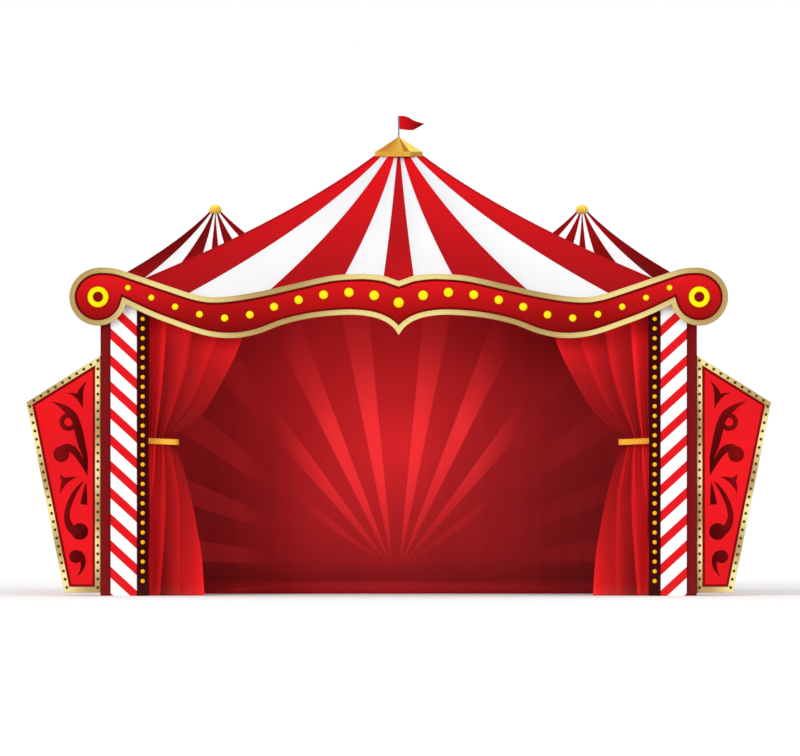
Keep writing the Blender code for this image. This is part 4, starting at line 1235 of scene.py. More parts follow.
class BIGTOP_OT_show_board(bpy.types.Operator):
    """Wavy show board with its gilt rim, a dark cove painted as the rim's shadow, scroll rings and lamps"""
    bl_idname = "bigtop.show_board"
    bl_label = "Show board"

    def execute(self, context):
        line = board_half()
        # Painted highlight bands along the rim's gold
        tone = 0.5 + 0.5 * np.cos(2.0 * np.pi * (line[:, 0] - RIM_HIGHLIGHT) / RIM_PITCH)
        rim = moulding(line, [(inward, FRONT_Y + depth) for inward, depth in RIM_PROFILE], tone)
        solid("show_board_rim_gilt", [rim] + mirrored([rim]), "Rim gilt", "pale_gilt", "show_board_rim",
              smooth=35.0)
        # The cove's dark red is a painted shadow of the rim on the board
        cove = moulding(line, [(inward, BOARD_FACE_Y - height) for inward, height in COVE_PROFILE])
        solid("show_board_cove", [cove] + mirrored([cove]), "Cove shadow red", "painted_deep_red")
        half = self.board(line)
        solid("show_board_panel", half + mirrored(half), "Show board red", "painted_red", "show_board",
              smooth=30.0)
        self.rings()
        self.lamps(context.scene.big_top.front)
        return {"FINISHED"}

    def board(self, line):
        """Face and back between the upper and lower edge at the same x, and the edge wall between."""
        end = int(np.argmax(line[:, 0]))
        upper, lower = line[:end + 1], line[end:][::-1]
        x = np.unique(np.concatenate([upper[:, 0], lower[:, 0]]).round(5))
        x = x[np.concatenate([[True], np.diff(x) > 0.0008])]
        x[-1] = line[end, 0]
        order = np.argsort(lower[:, 0], kind="stable")
        high = np.interp(x, upper[:, 0], upper[:, 1])
        low = np.interp(x, lower[order, 0], lower[order, 1])
        high[-1] = low[-1] = line[end, 1]
        z = low + (high - low) * np.linspace(0.0, 1.0, 9)[:, None]
        face, back = stacked(x, BOARD_FACE_Y, z), stacked(x, BOARD_BACK_Y, z)[::-1]
        loop_x, loop_z = np.concatenate([x, x[::-1]]), np.concatenate([high, low[::-1]])
        wall = stacked(loop_x, np.array([[BOARD_FACE_Y], [BOARD_BACK_Y]]), loop_z)
        return [patch(face), patch(back), patch(wall)]

    def rings(self):
        """Yellow scroll rings with a turned section, and a domed hub inside each."""
        ring = [(0.060, 0.0), (0.061, 0.018), (0.066, 0.026), (0.078, 0.029), (0.093, 0.030), (0.108, 0.029),
                (0.120, 0.026), (0.125, 0.018), (0.126, 0.0), (0.060, 0.0)]
        places = [(x, BOARD_FACE_Y - GAP, DISC_Z) for x in (-DISC_X, DISC_X)]
        solid("scroll_rings_yellow", [turned(ring, 56, places)], "Scroll yellow", "lamp_yellow",
              "scroll_ring_left", "scroll_ring_right")
        solid("scroll_hubs", [turned(dome(0.0595, 0.014, 7), 40, places)], "Hub red", "painted_deep_red")

    def lamps(self, settings):
        """Domes of coloured glass in thin collars, smaller towards the discs."""
        count = np.arange(-settings.lamp_pairs, settings.lamp_pairs + 1)
        x, z = board_lamp_places(count)
        radius = settings.lamp_radius - BOARD_LAMP_SHRINK * abs(count)
        places = stacked(x, BOARD_FACE_Y - GAP, z)
        globes = turned(dome(0.94, 0.50, 8), 28, places, scale=radius)
        collar = [(0.0, 0.0), (0.97, 0.0), (0.98, 0.03), (0.97, 0.06), (0.95, 0.07), (0.92, 0.06),
                  (0.0, 0.05)]
        collars = turned(collar, 28, places, scale=radius)
        solid("show_board_lamps", [globes], "Yellow lamp glass", "lamp_yellow")
        solid("show_board_lamp_collars", [collars], "Hub red", "painted_deep_red")


class BIGTOP_OT_pillars(bpy.types.Operator):
    """Candy-striped boards, lamp boards with their globes, and the pillars behind them"""
    bl_idname = "bigtop.pillars"
    bl_label = "Pillars"

    def execute(self, context):
        settings = context.scene.big_top.front
        z = STRIP_LAMP_TOP - STRIP_LAMP_SPACING * np.arange(settings.strip_lamps)
        places = stacked((STRIP_LOW.x + STRIP_HIGH.x) / 2.0, STRIP_LOW.y - GAP, z)
        socket = [(0.0, 0.0), (1.22, 0.0), (1.24, 0.12), (1.16, 0.20), (1.04, 0.17), (0.0, 0.08)]
        lamps = turned(dome(1.0, 0.85, 7), 20, places, scale=settings.strip_radius)
        sockets = turned(socket, 18, places, scale=settings.strip_radius)
        strip = box_patches(STRIP_LOW, STRIP_HIGH, 0.004)
        candy = box_patches(CANDY_LOW, CANDY_HIGH, 0.005)
        case = box_patches(PILLAR_LOW, PILLAR_HIGH, 0.006)
        for side, turn in SIDES:
            solid(f"lamp_board_{side}_maroon", turn([strip]), "Lamp board maroon", "painted_deep_red",
                  f"lamp_board_{side}", smooth=30.0)
            solid(f"candy_board_{side}_striped", turn([candy]), "Candy stripes", "painted_stripes",
                  f"candy_board_{side}", smooth=30.0)
            solid(f"strip_lamps_{side}", turn([lamps]), "Amber lamp glass", "lamp_yellow")
            solid(f"strip_lamp_sockets_{side}", turn([sockets]), "Socket red", "painted_deep_red")
            solid(f"pillar_{side}_case", turn([case]), "Pillar maroon", "painted_deep_red", f"pillar_{side}",
                  smooth=30.0)
        return {"FINISHED"}


# Where the wing frame's painted highlight and painted shade take turns, in metres round it from its inner top
# corner
LEAF_HIGHLIGHT_TURNS = (-0.25, 0.98, 1.394, 2.0, 2.372, 2.86, 3.229, 3.8, 4.308, 4.79, 5.316, 5.83, 6.41, 6.95)

# The wing frame's section: shares of the way in, and depths behind its front. Then the bevel inside
# it, painted dark as the frame's shadow: its width, shares, and heights off the board. Then the height of the
# lowest nails
FRAME_SHARES = (0.0, 0.0, 0.06, 0.16, 0.5, 0.84, 0.94, 1.0, 1.0, 0.0)
FRAME_DEPTHS = (0.025, 0.005, 0.0005, 0.0, 0.0025, 0.0, 0.0005, 0.005, 0.025, 0.025)
BEVEL_WIDTH = 0.028
BEVEL_SHARES = (-0.1, 0.0, 1.0, 1.05, -0.1)
BEVEL_HEIGHTS = (GAP, 0.017, 0.002, GAP, GAP)
NAIL_FOOT_Z = 0.100


def polygon_ring(outer, inner, shares, depths, per_side, turns=None):
    """A band between two four-cornered outlines: row k lies a share of the way in, at its depth y.

    Each side runs straight from corner to corner, so the corners are mitred. u is metres along, or
    with turns the tone 0.5 + 0.5 cos(pi n), where n counts the turns passed.
    """
    t = np.linspace(0.0, 1.0, per_side, endpoint=False)[None, :, None]
    lines = []
    for corners in (np.array(outer), np.array(inner)):
        ahead = np.roll(corners, -1, axis=0)
        line = (corners[:, None] * (1.0 - t) + ahead[:, None] * t).reshape(-1, 2)
        lines.append(np.vstack([line, line[:1]]))
    shares = np.array(shares)[:, None, None]
    plan = lines[0] * (1.0 - shares) + lines[1] * shares
    u = along(lines[0])
    if turns:
        u = 0.5 + 0.5 * np.cos(np.pi * np.interp(u, turns, np.arange(len(turns))))
    points = stacked(plan[..., 0], np.array(depths)[:, None], plan[..., 1])
    return patch(points, stacked(u, np.linspace(0.0, 1.0, len(depths))[:, None]))


def shrunk(corners, width):
    """The clockwise corners moved inwards by a width: each corner by the sum of its sides' normals
    over one plus their product."""
    corners = np.asarray(corners, float)
    step = unit(np.roll(corners, -1, axis=0) - corners)
    after = np.column_stack([step[:, 1], -step[:, 0]])
    before = np.roll(after, 1, axis=0)
    return corners + width * (before + after) / (1.0 + (before * after).sum(axis=1))[:, None]


def picture_point(x, y):
    """A point of the left wing, in pixels of the picture, as (half width, height) in metres."""
    return (PICTURE_MIDDLE - x) * PIXEL, (PICTURE_GROUND - y) * PIXEL


# Carved scrolls: spine points with half widths, and balls, in picture pixels of the left wing
SCROLL_LEAVES = (
    ((50.7, 401.4, 0.1), (58.5, 404.6, 1.6), (66.0, 409.4, 3.2), (72.5, 415.5, 3.9), (76.0, 422.0, 3.6),
     (78.2, 430.0, 4.0), (81.6, 444.5, 3.7), (84.6, 455.0, 2.6), (85.9, 463.5, 1.8), (87.2, 476.0, 0.1)),
    ((60.6, 450.0, 3.4), (66.5, 447.6, 3.6), (72.8, 449.9, 3.7), (78.0, 456.0, 3.0), (82.6, 464.2, 2.0),
     (87.0, 475.0, 0.1)),
    ((83.8, 481.0, 0.1), (78.5, 487.0, 1.4), (72.5, 496.5, 2.3), (67.9, 508.0, 2.6), (66.8, 518.0, 2.9),
     (69.8, 527.0, 3.7), (76.0, 533.0, 4.2)),
    ((76.6, 553.2, 2.6), (80.6, 555.0, 2.9), (82.9, 561.5, 2.6), (81.6, 569.5, 1.5), (77.2, 576.7, 0.1)),
    ((86.6, 381.1, 0.1), (82.9, 386.4, 1.3), (80.3, 392.4, 2.8), (79.6, 396.2, 3.2)),
    ((66.8, 393.1, 0.1), (71.6, 393.9, 0.9), (76.2, 395.8, 2.1), (80.2, 397.6, 2.9)),
    ((82.6, 408.5, 0.1), (81.4, 403.4, 1.3), (79.9, 398.8, 3.0), (79.6, 395.4, 3.0)),
    ((60.2, 474.5, 0.1), (61.6, 477.4, 1.4), (63.6, 479.8, 2.6), (66.4, 480.6, 2.7)),
    ((77.4, 477.4, 0.1), (73.0, 477.9, 0.9), (69.2, 479.2, 1.9), (65.6, 480.8, 2.7)),
    ((60.2, 494.1, 0.1), (61.0, 489.2, 1.1), (62.9, 484.6, 2.3), (65.2, 480.8, 3.0)),
    ((86.0, 482.0, 0.1), (85.2, 489.0, 1.4), (84.4, 496.5, 2.5), (83.5, 504.6, 3.5)),
)
SCROLL_BALLS = ((61.1, 454.2, 7.9), (79.7, 531.7, 8.3), (75.6, 556.7, 6.5))
SCROLL_EYE = (68.3, 422.0, 8.9, 4.3)


def leaf_patch(spine, face, height):
    """A carved leaf: across its spine t from -1 to 1, it stands off the board by height (1 - t2) to
    the power 0.6, less where the leaf is narrow, and it closes flat underneath."""
    line = smooth_line([(*picture_point(x, y), width * PIXEL) for x, y, width in spine], 7)
    plan, half = line[:, :2], np.maximum(line[:, 2], 0.0006)
    heading = unit(np.gradient(plan, axis=0))
    side = np.column_stack([heading[:, 1], -heading[:, 0]])
    t = np.concatenate([np.sin(np.linspace(-np.pi / 2.0, np.pi / 2.0, 9)), [0.0, -1.0]])
    crown = np.concatenate([(1.0 - t[:9] ** 2) ** 0.6, [0.0, 0.0]])
    share = np.linspace(0.0, 1.0, len(line))
    rise = height * np.clip(half / 0.030, 0.15, 1.0) * np.sqrt(np.clip(1.0 - share ** 24, 0.0, 1.0))
    across = plan[:, None] + side[:, None] * (half[:, None] * t)[..., None]
    rows = stacked(across[..., 0], face - rise[:, None] * crown, across[..., 1])
    ends = np.broadcast_to(rows[[0, -1]].mean(axis=1, keepdims=True), (2,) + rows.shape[1:])
    return patch(np.concatenate([ends[:1], rows, ends[1:]]))


class BIGTOP_OT_wings(bpy.types.Operator):
    """Wings: nailed gilt frames, dark bevels painted as their shadow, and carved scrolls on the red boards"""
    bl_idname = "bigtop.wings"
    bl_label = "Wings"

    def execute(self, context):
        settings = context.scene.big_top.front
        depths = [WING_FRAME_Y + depth for depth in FRAME_DEPTHS]
        band = polygon_ring(WING_CORNERS, WING_FIELD, FRAME_SHARES, depths, 48, LEAF_HIGHLIGHT_TURNS)
        depths = [WING_FACE_Y - height for height in BEVEL_HEIGHTS]
        bevel = polygon_ring(WING_FIELD, shrunk(WING_FIELD, BEVEL_WIDTH), BEVEL_SHARES, depths, 12)
        nails = turned(dome(1.0, 0.62, 4), 8, self.nail_places(settings), scale=settings.nail_radius)
        scrolls = self.scrolls(settings.relief)
        for side, turn in SIDES:
            solid(f"wing_frame_{side}_gilt", turn([band]), "Wing gilt", "pale_gilt", f"wing_frame_{side}",
                  smooth=32.0)
            # The bevel's dark red is the frame' painted shadow on the board
            solid(f"wing_bevel_{side}", turn([bevel]), "Bevel shadow red", "painted_deep_red", smooth=30.0)
            solid(f"wing_nails_{side}", turn([nails]), "Bronze nails", "gilt", smooth=60.0)
            solid(f"wing_scrolls_{side}", turn(scrolls), "Scroll maroon", "painted_deep_red", smooth=55.0)
        return {"FINISHED"}

    def nail_places(self, settings):
        """Nails at an even pitch up the inner side, along the top and down the outer side, on the
        middle line of the frame."""
        corners = (np.array(WING_CORNERS) + np.array(WING_FIELD)) / 2.0
        corners[3, 1] = corners[2, 1] = NAIL_FOOT_Z
        path = corners[[3, 0, 1, 2]]
        reach = along(path)
        place = np.linspace(0.0, reach[-1], round(reach[-1] / settings.nail_pitch) + 1)
        x, z = np.interp(place, reach, path[:, 0]), np.interp(place, reach, path[:, 1])
        return stacked(x, WING_FRAME_Y + 0.0025, z)

    def scrolls(self, relief):
        """The right wing's leaves and balls, and the ring at the scroll's eye."""
        face = WING_FACE_Y - GAP
        carved = [leaf_patch(spine, face, relief) for spine in SCROLL_LEAVES]
        for x, y, radius in SCROLL_BALLS:
            x, z = picture_point(x, y)
            carved.append(turned(dome(radius * PIXEL, relief * 1.35, 8), 36, [(x, face, z)]))
        x, y, outer, hole = SCROLL_EYE
        x, z = picture_point(x, y)
        lean = np.linspace(0.0, np.pi, 9)
        middle, half = (outer + hole) * PIXEL / 2.0, (outer - hole) * PIXEL / 2.0
        eye = np.column_stack([middle - half * np.cos(lean), relief * 0.9 * np.sin(lean)])
        carved.append(turned(np.vstack([eye, eye[:1]]), 40, [(x, face, z)]))
        return carved


# Curtain rings: half widths of the first and the last, how many, and their radius and wire
RING_ENDS = (1.92, 2.94)
RING_COUNT = 9
RING_RADIUS = 0.031
RING_WIRE = 0.0045


def line_at(points, z):
    """Half width of a curtain line at heights z, read from its smoothed points."""
    line = smooth_line(points, 10)
    return np.interp(z, line[::-1, 0], line[::-1, 1])


class BIGTOP_OT_curtains(bpy.types.Operator):
    """Velvet curtains gathered in gilt ties, hung from brass rings"""
    bl_idname = "bigtop.curtains"
    bl_label = "Curtains"

    def execute(self, context):
        settings = context.scene.big_top.stage
        grid, uvs = self.fold_grid(settings)
        for side, turn in SIDES:
            drape = sheet(f"curtain_{side}_velvet", turn([patch(grid, uvs)]), "Curtain velvet",
                          "curtain_velvet", f"curtain_{side}", thickness=settings.cloth, smooth=180.0)
            tie = solid(f"tieback_{side}_gilt", turn([self.tie()]), "Tie gilt", "gilt", f"tieback_{side}")
            rings = solid(f"curtain_rings_{side}", turn([self.rings()]), "Brass", "gilt")
        return {"FINISHED"}

    def fold_grid(self, settings):
        """Folds between the curtain's lines. Across one fold, t from 0 to 1, the cloth stands forward
        by depth sin(pi t to 2.2), so that its nose is near the stage side; the last fold ends at its
        nose. Fine gathers fade away from the head and the tie, and the cloth bags over the tie. u
        counts the folds, and v is the painted shade and highlight: from the valley's to the nose's by
        t to 1.5 across a fold."""
        z = np.concatenate([np.linspace(CURTAIN_HIGH.z, TIE_HIGH.z + 0.12, 70, endpoint=False),
                            np.linspace(TIE_HIGH.z + 0.12, TIE_LOW.z - 0.12, 30, endpoint=False),
                            np.linspace(TIE_LOW.z - 0.12, CURTAIN_LOW.z + 0.003, 70)])
        edges = [np.full_like(z, STRIP_LOW.x - 0.002)]
        edges += [line_at(line, z) for line in CURTAIN_LINES[::-1]] + [line_at(CURTAIN_EDGE, z)]
        t = np.append(np.linspace(0.0, 0.96, 17), 0.985)
        middle = (TIE_HIGH.z + TIE_LOW.z) / 2.0
        near_tie = np.exp(-((z - middle) / 0.10) ** 2)[:, None]
        depth = settings.fold_depth * (1.0 - 0.30 * near_tie)
        columns, swell, place, painted_shading = [], [], [], []
        for k in range(4):
            wide = (edges[k + 1] - edges[k])[:, None]
            nose = np.sin(np.pi * t ** 2.2) if k < 3 else np.sin(np.pi / 2.0 * t ** 1.5)
            columns.append(edges[k][:, None] + wide * (t - 0.05 * np.sin(2.0 * np.pi * t)))
            swell.append(depth * nose * np.clip(abs(wide) / 0.14, 0.05, 1.0))
            place.append(k + t)
            # Painted shade in each fold's valley and a painted highlight on its nose
            valley, top = (np.interp(z, FOLD_HEIGHTS, side)[:, None] for side in zip(*FOLD_PAINTED_SHADING[k]))
            painted_shading.append(valley + (top - valley) * t ** (1.5 if k else 1.0))
        x = np.hstack(columns + [edges[4][:, None]])
        off = np.hstack(swell + [swell[-1][:, -1:] * 1.02])
        u = np.concatenate(place + [[4.0]])
        head = 0.006 * np.exp((z - CURTAIN_HIGH.z) / 0.10)[:, None] * np.sin(10.0 * np.pi * u)
        gathers = 0.005 * np.exp(-((z - middle) / 0.38) ** 2)[:, None] * np.sin(6.0 * np.pi * u + 1.0)
        slow = 0.006 * np.sin(2.0 * np.pi * (0.9 * z[:, None] + 0.31 * u))
        bag = 0.022 * np.exp(-((z - TIE_HIGH.z - 0.10) / 0.10) ** 2)[:, None] * np.sin(np.pi * u / 4.3)
        base = (CURTAIN_LOW.y + CURTAIN_HIGH.y) / 2.0 + 0.022
        y = base - off - head - gathers * (1.0 - 0.6 * near_tie) - slow * (1.0 - near_tie) - bag
        tone = np.hstack(painted_shading + [painted_shading[-1][:, -1:]]) / 255.0
        return stacked(x, y, z[:, None]), stacked(u, tone)

    def tie(self):
        """A band round the curtain: a stadium in plan, with a bead along each edge. It dips by 12 mm
        towards its free end."""
        low, high = np.array(TIE_LOW), np.array(TIE_HIGH)
        y, half = (low[1] + high[1]) / 2.0, (high[1] - low[1]) / 2.0
        bend = np.linspace(np.pi / 2.0, 3.0 * np.pi / 2.0, 24)
        nose_x = low[0] + half
        curve = np.column_stack([nose_x + half * np.cos(bend), y + half * np.sin(bend)])
        straight = np.linspace(high[0], nose_x, 10, endpoint=False)
        rear = np.column_stack([straight, np.full_like(straight, y + half)])
        fore = np.column_stack([straight[::-1], np.full_like(straight, y - half)])
        plan = np.vstack([rear, curve, fore])
        heading = unit(np.gradient(plan, axis=0))
        inward = np.column_stack([-heading[:, 1], heading[:, 0]])
        inward *= np.sign(((np.array([nose_x, y]) - plan) * inward).sum(axis=1))[:, None]
        tall, foot = 0.8 * (high[2] - low[2]), 0.9 * low[2] + 0.1 * high[2]
        profile = np.array([(0.008, 0.0), (0.0, 0.0), (-0.003, 0.05), (-0.003, 0.11), (0.001, 0.15),
                            (0.0, 0.5), (0.001, 0.85), (-0.003, 0.89), (-0.003, 0.95), (0.0, 1.0),
                            (0.008, 1.0), (0.008, 0.0)])
        dip = -0.012 * smoothstep((high[0] - plan[:, 0]) / (high[0] - low[0]))
        at = plan[None] + profile[:, 0, None, None] * inward[None]
        z = foot + tall * profile[:, 1, None] + dip
        points = np.concatenate([at, z[..., None]], -1)
        first, last = (np.broadcast_to(points[:, [k]].mean(axis=0), points[:, [k]].shape) for k in (0, -1))
        points = np.concatenate([first, points, last], axis=1)
        return patch(points, stacked(along(points[1]), profile[:, 1, None]))

    def rings(self):
        """Rings round the rail above the folds: a small circle turned round the rail's line."""
        y, z = (RAIL_LOW.y + RAIL_HIGH.y) / 2.0, (RAIL_LOW.z + RAIL_HIGH.z) / 2.0
        turn, around = np.meshgrid(np.linspace(0.0, 2.0 * np.pi, 21), np.linspace(0.0, 2.0 * np.pi, 9))
        reach = RING_RADIUS + RING_WIRE * np.cos(around)
        base = np.stack([RING_WIRE * np.sin(around), reach * np.cos(turn), reach * np.sin(turn)], -1)
        places = stacked(np.linspace(*RING_ENDS, RING_COUNT), y, z - 0.004)
        return patch(base[None] + places[:, None, None])


class BIGTOP_OT_backdrop(bpy.types.Operator):
    """Painted back cloth with soft folds"""
    bl_idname = "bigtop.backdrop"
    bl_label = "Back cloth"

    def execute(self, context):
        settings = context.scene.big_top.stage
        x = np.linspace(BACKDROP_LOW.x, BACKDROP_HIGH.x, 161)
        t = np.linspace(0.0, 1.0, 61)[:, None]
        z = BACKDROP_HIGH.z + (BACKDROP_LOW.z + 0.002 - BACKDROP_HIGH.z) * t
        fold = np.sin(2.0 * np.pi * x / 0.61 + 0.5 * np.sin(1.7 * x))
        fold = fold + 0.4 * np.sin(2.0 * np.pi * x / 0.23 + 1.0 + t)
        swing = settings.backdrop_swing / 1.4 * fold * (0.55 + 0.45 * t)
        y = (BACKDROP_LOW.y + BACKDROP_HIGH.y) / 2.0 + swing
        cloth = sheet("backdrop_cloth", [patch(stacked(x, y, z), self.painted_shading(x, z))], "Sunburst cloth",
                      "back_cloth", "backdrop", thickness=BACK_CLOTH, smooth=180.0)
        return {"FINISHED"}

    def painted_shading(self, x, z):
        """u is the ground's tone, which holds painted light and shade: the middle's red to the power 2.2,
        times 1 - 0.075 x - 0.12 x2 + 0.012 x4; less by 0.27 for each metre past x = -1 and by up to
        0.16 on the right; more near the floor by 0.42 for each metre past half a metre from the middle;
        plus a painted pool of light round the middle and a painted shade above it. v is the rays'
        strength: it rises with the distance r from the focus, falls with the lean, and falls with r over
        the squared cosine of the lean. It is weaker on the right and far on the left, and past 1.5 m
        from the middle a little is added."""
        ground = (np.interp(z, GROUND_HEIGHTS, GROUND_REDS) / 255.0) ** 2.2
        ground = ground * (1.0 - 0.075 * x - 0.12 * x ** 2 + 0.012 * x ** 4)
        ground = ground * (1.0 - 0.27 * np.clip(-x - 1.0, 0.0, 1.25) - 0.16 * smoothstep(x / 0.9))
        floor = np.clip(abs(x + 0.12) - 0.5, 0.0, 0.9) * np.clip((1.1 - z) / 0.6, 0.0, 1.0)
        ground = ground * (1.0 + 0.42 * floor)
        # Painted pool of light round the middle, and painted shade above it
        ground += 0.12 * np.exp(-(x ** 2 + (z - 1.80) ** 2) / 0.16)
        ground -= 0.05 * np.exp(-(x ** 2 + (z - 2.38) ** 2) / 0.12)
        across, height = abs(x + FOCUS_SHIFT) - FOCUS_SHIFT, z - FOCUS_Z
        reach = np.hypot(across, height)
        lean = np.degrees(np.arctan2(abs(across), height))
        far = reach / np.clip(height / reach, 0.05, 1.0) ** 2
        strength = np.clip(reach / 1.8, 0.0, 1.0) * np.clip((3.9 - far) / 1.6, 0.0, 1.0)
        strength = strength * np.clip((70.0 - lean) / 46.0, 0.0, 1.0)
        strength = strength * (1.0 - 0.3 * smoothstep(x / 0.4) - 0.14 * smoothstep((-0.8 - x) / 0.3))
        strength = strength + (0.115 - 0.055 * np.sign(x)) * smoothstep((abs(x) - 1.5) / 0.5)
        return stacked(np.clip(ground, 0.0, 1.0) ** (1.0 / 2.2), np.clip(strength, 0.0, 1.0))


# Crown cap: half width, turn and chamfer in degrees, rise above the imported cap, and the painted light
# and shade of its eight facets' slopes and bands. Then the pavilion caps' swell and half the width of the
# plate under the crown cap
CAP_HALF = 0.293
CAP_TURN = 19.4
CAP_CHAMFER = 8.0
CAP_RISE = 0.020
SLOPE_PAINTED_LIGHT = (0.0, 0.78, 0.4, 0.4, 0.6, 0.3, 0.42, 0.18)
BAND_PAINTED_LIGHT = (0.3, 0.22, 0.3, 0.3, 0.45, 0.3, 0.36, 0.2)
CAP_SWELL = 1.15
PLATE_HALF = 0.2935

# The pennant's thickness, and its edges from the pole, as (x, z)
PENNANT_CLOTH = 0.0015
PENNANT_TOP = ((0.0093, 5.766), (0.064, 5.766), (0.120, 5.748), (0.180, 5.713), (0.245, 5.690),
               (0.309, 5.672))
PENNANT_FOOT = ((0.0093, 5.608), (0.090, 5.598), (0.155, 5.594), (0.195, 5.605), (0.240, 5.630),
                (0.309, 5.671))


class BIGTOP_OT_crown(bpy.types.Operator):
    """Gilt crown cap, ribbed pavilion caps, flagpole and waving pennant"""
    bl_idname = "bigtop.crown"
    bl_label = "Cap and pennant"

    def execute(self, context):
        solid("crown_cap_gilt", self.cap(), "Cap gilt", "gilt", "crown_cap", smooth=25.0)
        x, y = PLATE_HALF, PLATE_HALF * CANOPY_RATIO
        plate = box_patches((-x, CANOPY_Y - y, CROWN_Z - 0.006), (x, CANOPY_Y + y, CROWN_Z + 0.003), 0.002)
        solid("crown_plate", [plate], "Hip cord", "painted_red", smooth=30.0)
        for side, x in TOWERS:
            solid(f"tower_cap_{side}_gilt", [self.ribbed_cap(x)], "Cap gilt", "gilt", f"tower_cap_{side}",
                  smooth=50.0)
        self.flag()
        return {"FINISHED"}

    def cap(self):
        """Rings of a chamfered square, each scaled by the profile: an upright band, and slopes that rise a
        little hollow to the tip. u holds the painted light and shade of each facet's band or slope, and v the
        height."""
        turn = np.radians([side * 90.0 - 90.0 + CAP_TURN + chamfer for side in range(5)
                           for chamfer in (-CAP_CHAMFER, CAP_CHAMFER)][:9])
        corner = CAP_HALF * np.column_stack([np.sin(turn + np.pi / 2.0), -np.cos(turn + np.pi / 2.0)])
        base, band, tip = CROWN_Z + 0.002, CROWN_LOW.z + 0.062, CROWN_HIGH.z + CAP_RISE
        rise = np.linspace(0.0, 1.0, 16)
        hollow = 0.955 * (1.0 - rise) ** 1.06 + 0.045 * (1.0 - rise)
        slope = np.column_stack([hollow, band + (tip - band) * rise])
        foot = [(0.0, base), (0.985, base), (1.0, base + 0.004), (1.0, band)]
        rings = np.vstack([foot, slope])
        rings[-6:, 0] = np.maximum(rings[-6:, 0], 0.05 * np.array([1.0, 1.0, 1.0, 1.0, 0.8, 0.0]))
        high = np.arange(len(rings))[:, None] >= len(foot)
        share = np.linspace(0.0, 1.0, 7)
        facets = []
        for k in range(8):
            edge = corner[k] + (corner[k + 1 if k < 7 else 0] - corner[k]) * share[:, None]
            plan = rings[:, 0, None, None] * edge + (0.0, CANOPY_Y)
            # Painted light that brightens across the last facet
            lean = 0.34 * (share - 0.5) if k == 7 else 0.0 * share
            tone = np.where(high, SLOPE_PAINTED_LIGHT[k] + lean, BAND_PAINTED_LIGHT[k])
            z = rings[:, 1, None]
            facets.append(patch(stacked(plan[..., 0], plan[..., 1], z), stacked(tone, z)))
        return facets

    def ribbed_cap(self, x):
        """A dome whose radius swells between its ribs by |cos 8a|, with a scalloped foot and a waist."""
        profile = np.array([(0.0, 0.0), (0.071, 0.0), (0.076, 0.006), (0.075, 0.014), (0.067, 0.022),
                            (0.064, 0.030), (0.066, 0.040), (0.066, 0.050), (0.058, 0.058), (0.056, 0.064),
                            (0.057, 0.072), (0.050, 0.082), (0.038, 0.092), (0.022, 0.1), (0.010, 0.1035),
                            (0.0, 0.104)])
        swell = np.array([0, 0.4, 1, 1, 0.8, 0.5, 1, 1, 0.8, 0.4, 1, 1, 0.8, 0.4, 0.1, 0.0])
        angle = np.linspace(0.0, 2.0 * np.pi, 97)
        lobes = np.abs(np.cos(8.0 * angle)) ** 0.6 - 1.0
        radius = CAP_SWELL * profile[:, :1] * (1.0 + 0.13 * swell[:, None] * lobes)
        foot = 0.006 * np.exp(-((profile[:, 1:] - 0.008) / 0.01) ** 2) * lobes * (profile[:, :1] > 0.0)
        z = TOWER_CAP_Z + np.clip(profile[:, 1:] - foot, 0.0, None)
        # u: painted light brighter towards the top, and painted shade in the grooves between the swells
        u = np.clip(0.30 + 0.62 * profile[:, 1:] / 0.104 + 0.35 * lobes, 0.0, 1.0)
        return patch(stacked(x + radius * np.cos(angle), TOWER_Y + radius * np.sin(angle), z), stacked(u, z))

    def flag(self):
        """A turned pole with a foot and a rounded head, and a pennant that waves towards its fly."""
        x, y = (FLAGPOLE_LOW.x + FLAGPOLE_HIGH.x) / 2.0, (FLAGPOLE_LOW.y + FLAGPOLE_HIGH.y) / 2.0
        base, top = FLAGPOLE_LOW.z, FLAGPOLE_HIGH.z + 0.009
        profile = [(0.0, base), (0.016, base), (0.016, base + 0.006), (0.011, base + 0.012),
                   (0.009, base + 0.020), (0.009, top - 0.010), (0.0105, top - 0.008), (0.010, top - 0.003),
                   (0.006, top - 0.0005), (0.0, top)]
        pole = turned(profile, 20, [(x, y, 0.0)], forward=False)
        solid("flagpole_steel", [pole], "Grey steel", "galvanised_steel", "flagpole")
        upper, lower = smooth_line(PENNANT_TOP, 8), smooth_line(PENNANT_FOOT, 8)
        s = np.linspace(0.0, 1.0, 49)
        reach = PENNANT_TOP[0][0] + (PENNANT_TOP[-1][0] - PENNANT_TOP[0][0]) * s
        high = np.interp(reach, upper[:, 0], upper[:, 1])
        low = np.interp(reach, lower[:, 0], lower[:, 1])
        t = np.linspace(0.0, 1.0, 17)[:, None]
        z = low + (high - low) * t
        wave = 0.020 * s ** 0.8 * np.sin(2.0 * np.pi * (1.15 * s + 0.10 * t))
        points = stacked(x + reach, y + wave, z)
        cloth = sheet("pennant_cloth", [patch(points, stacked(s, t))], "Pennant cloth", "pennant_cloth",
                      "pennant", thickness=PENNANT_CLOTH, smooth=180.0)


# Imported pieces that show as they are, by their finish
FRAME_FINISHES = {
    "Red timber": ("header_beam",),
    "Painted timber": ("back_beam", "side_beam_left", "side_beam_right", "back_post_left", "back_post_right",
                       "backdrop_batten", "tower_ring_beam_left", "tower_ring_beam_right"),
    "Brass": ("curtain_rail",),
    "Galvanised steel": ("king_pole", "tower_pole_left", "tower_pole_right"),
    "Wing red": ("wing_board_left", "wing_board_right"),
}


class BIGTOP_OT_frame(bpy.types.Operator):
    """Beams, posts, poles and wing boards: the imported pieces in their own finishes"""
    bl_idname = "bigtop.frame"
    bl_label = "Frame finishes"

    def execute(self, context):
        for look, names in FRAME_FINISHES.items():
            for name in names:
                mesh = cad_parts[name].data
                mesh.materials.clear()
                mesh.materials.append(finish(look))
        return {"FINISHED"}


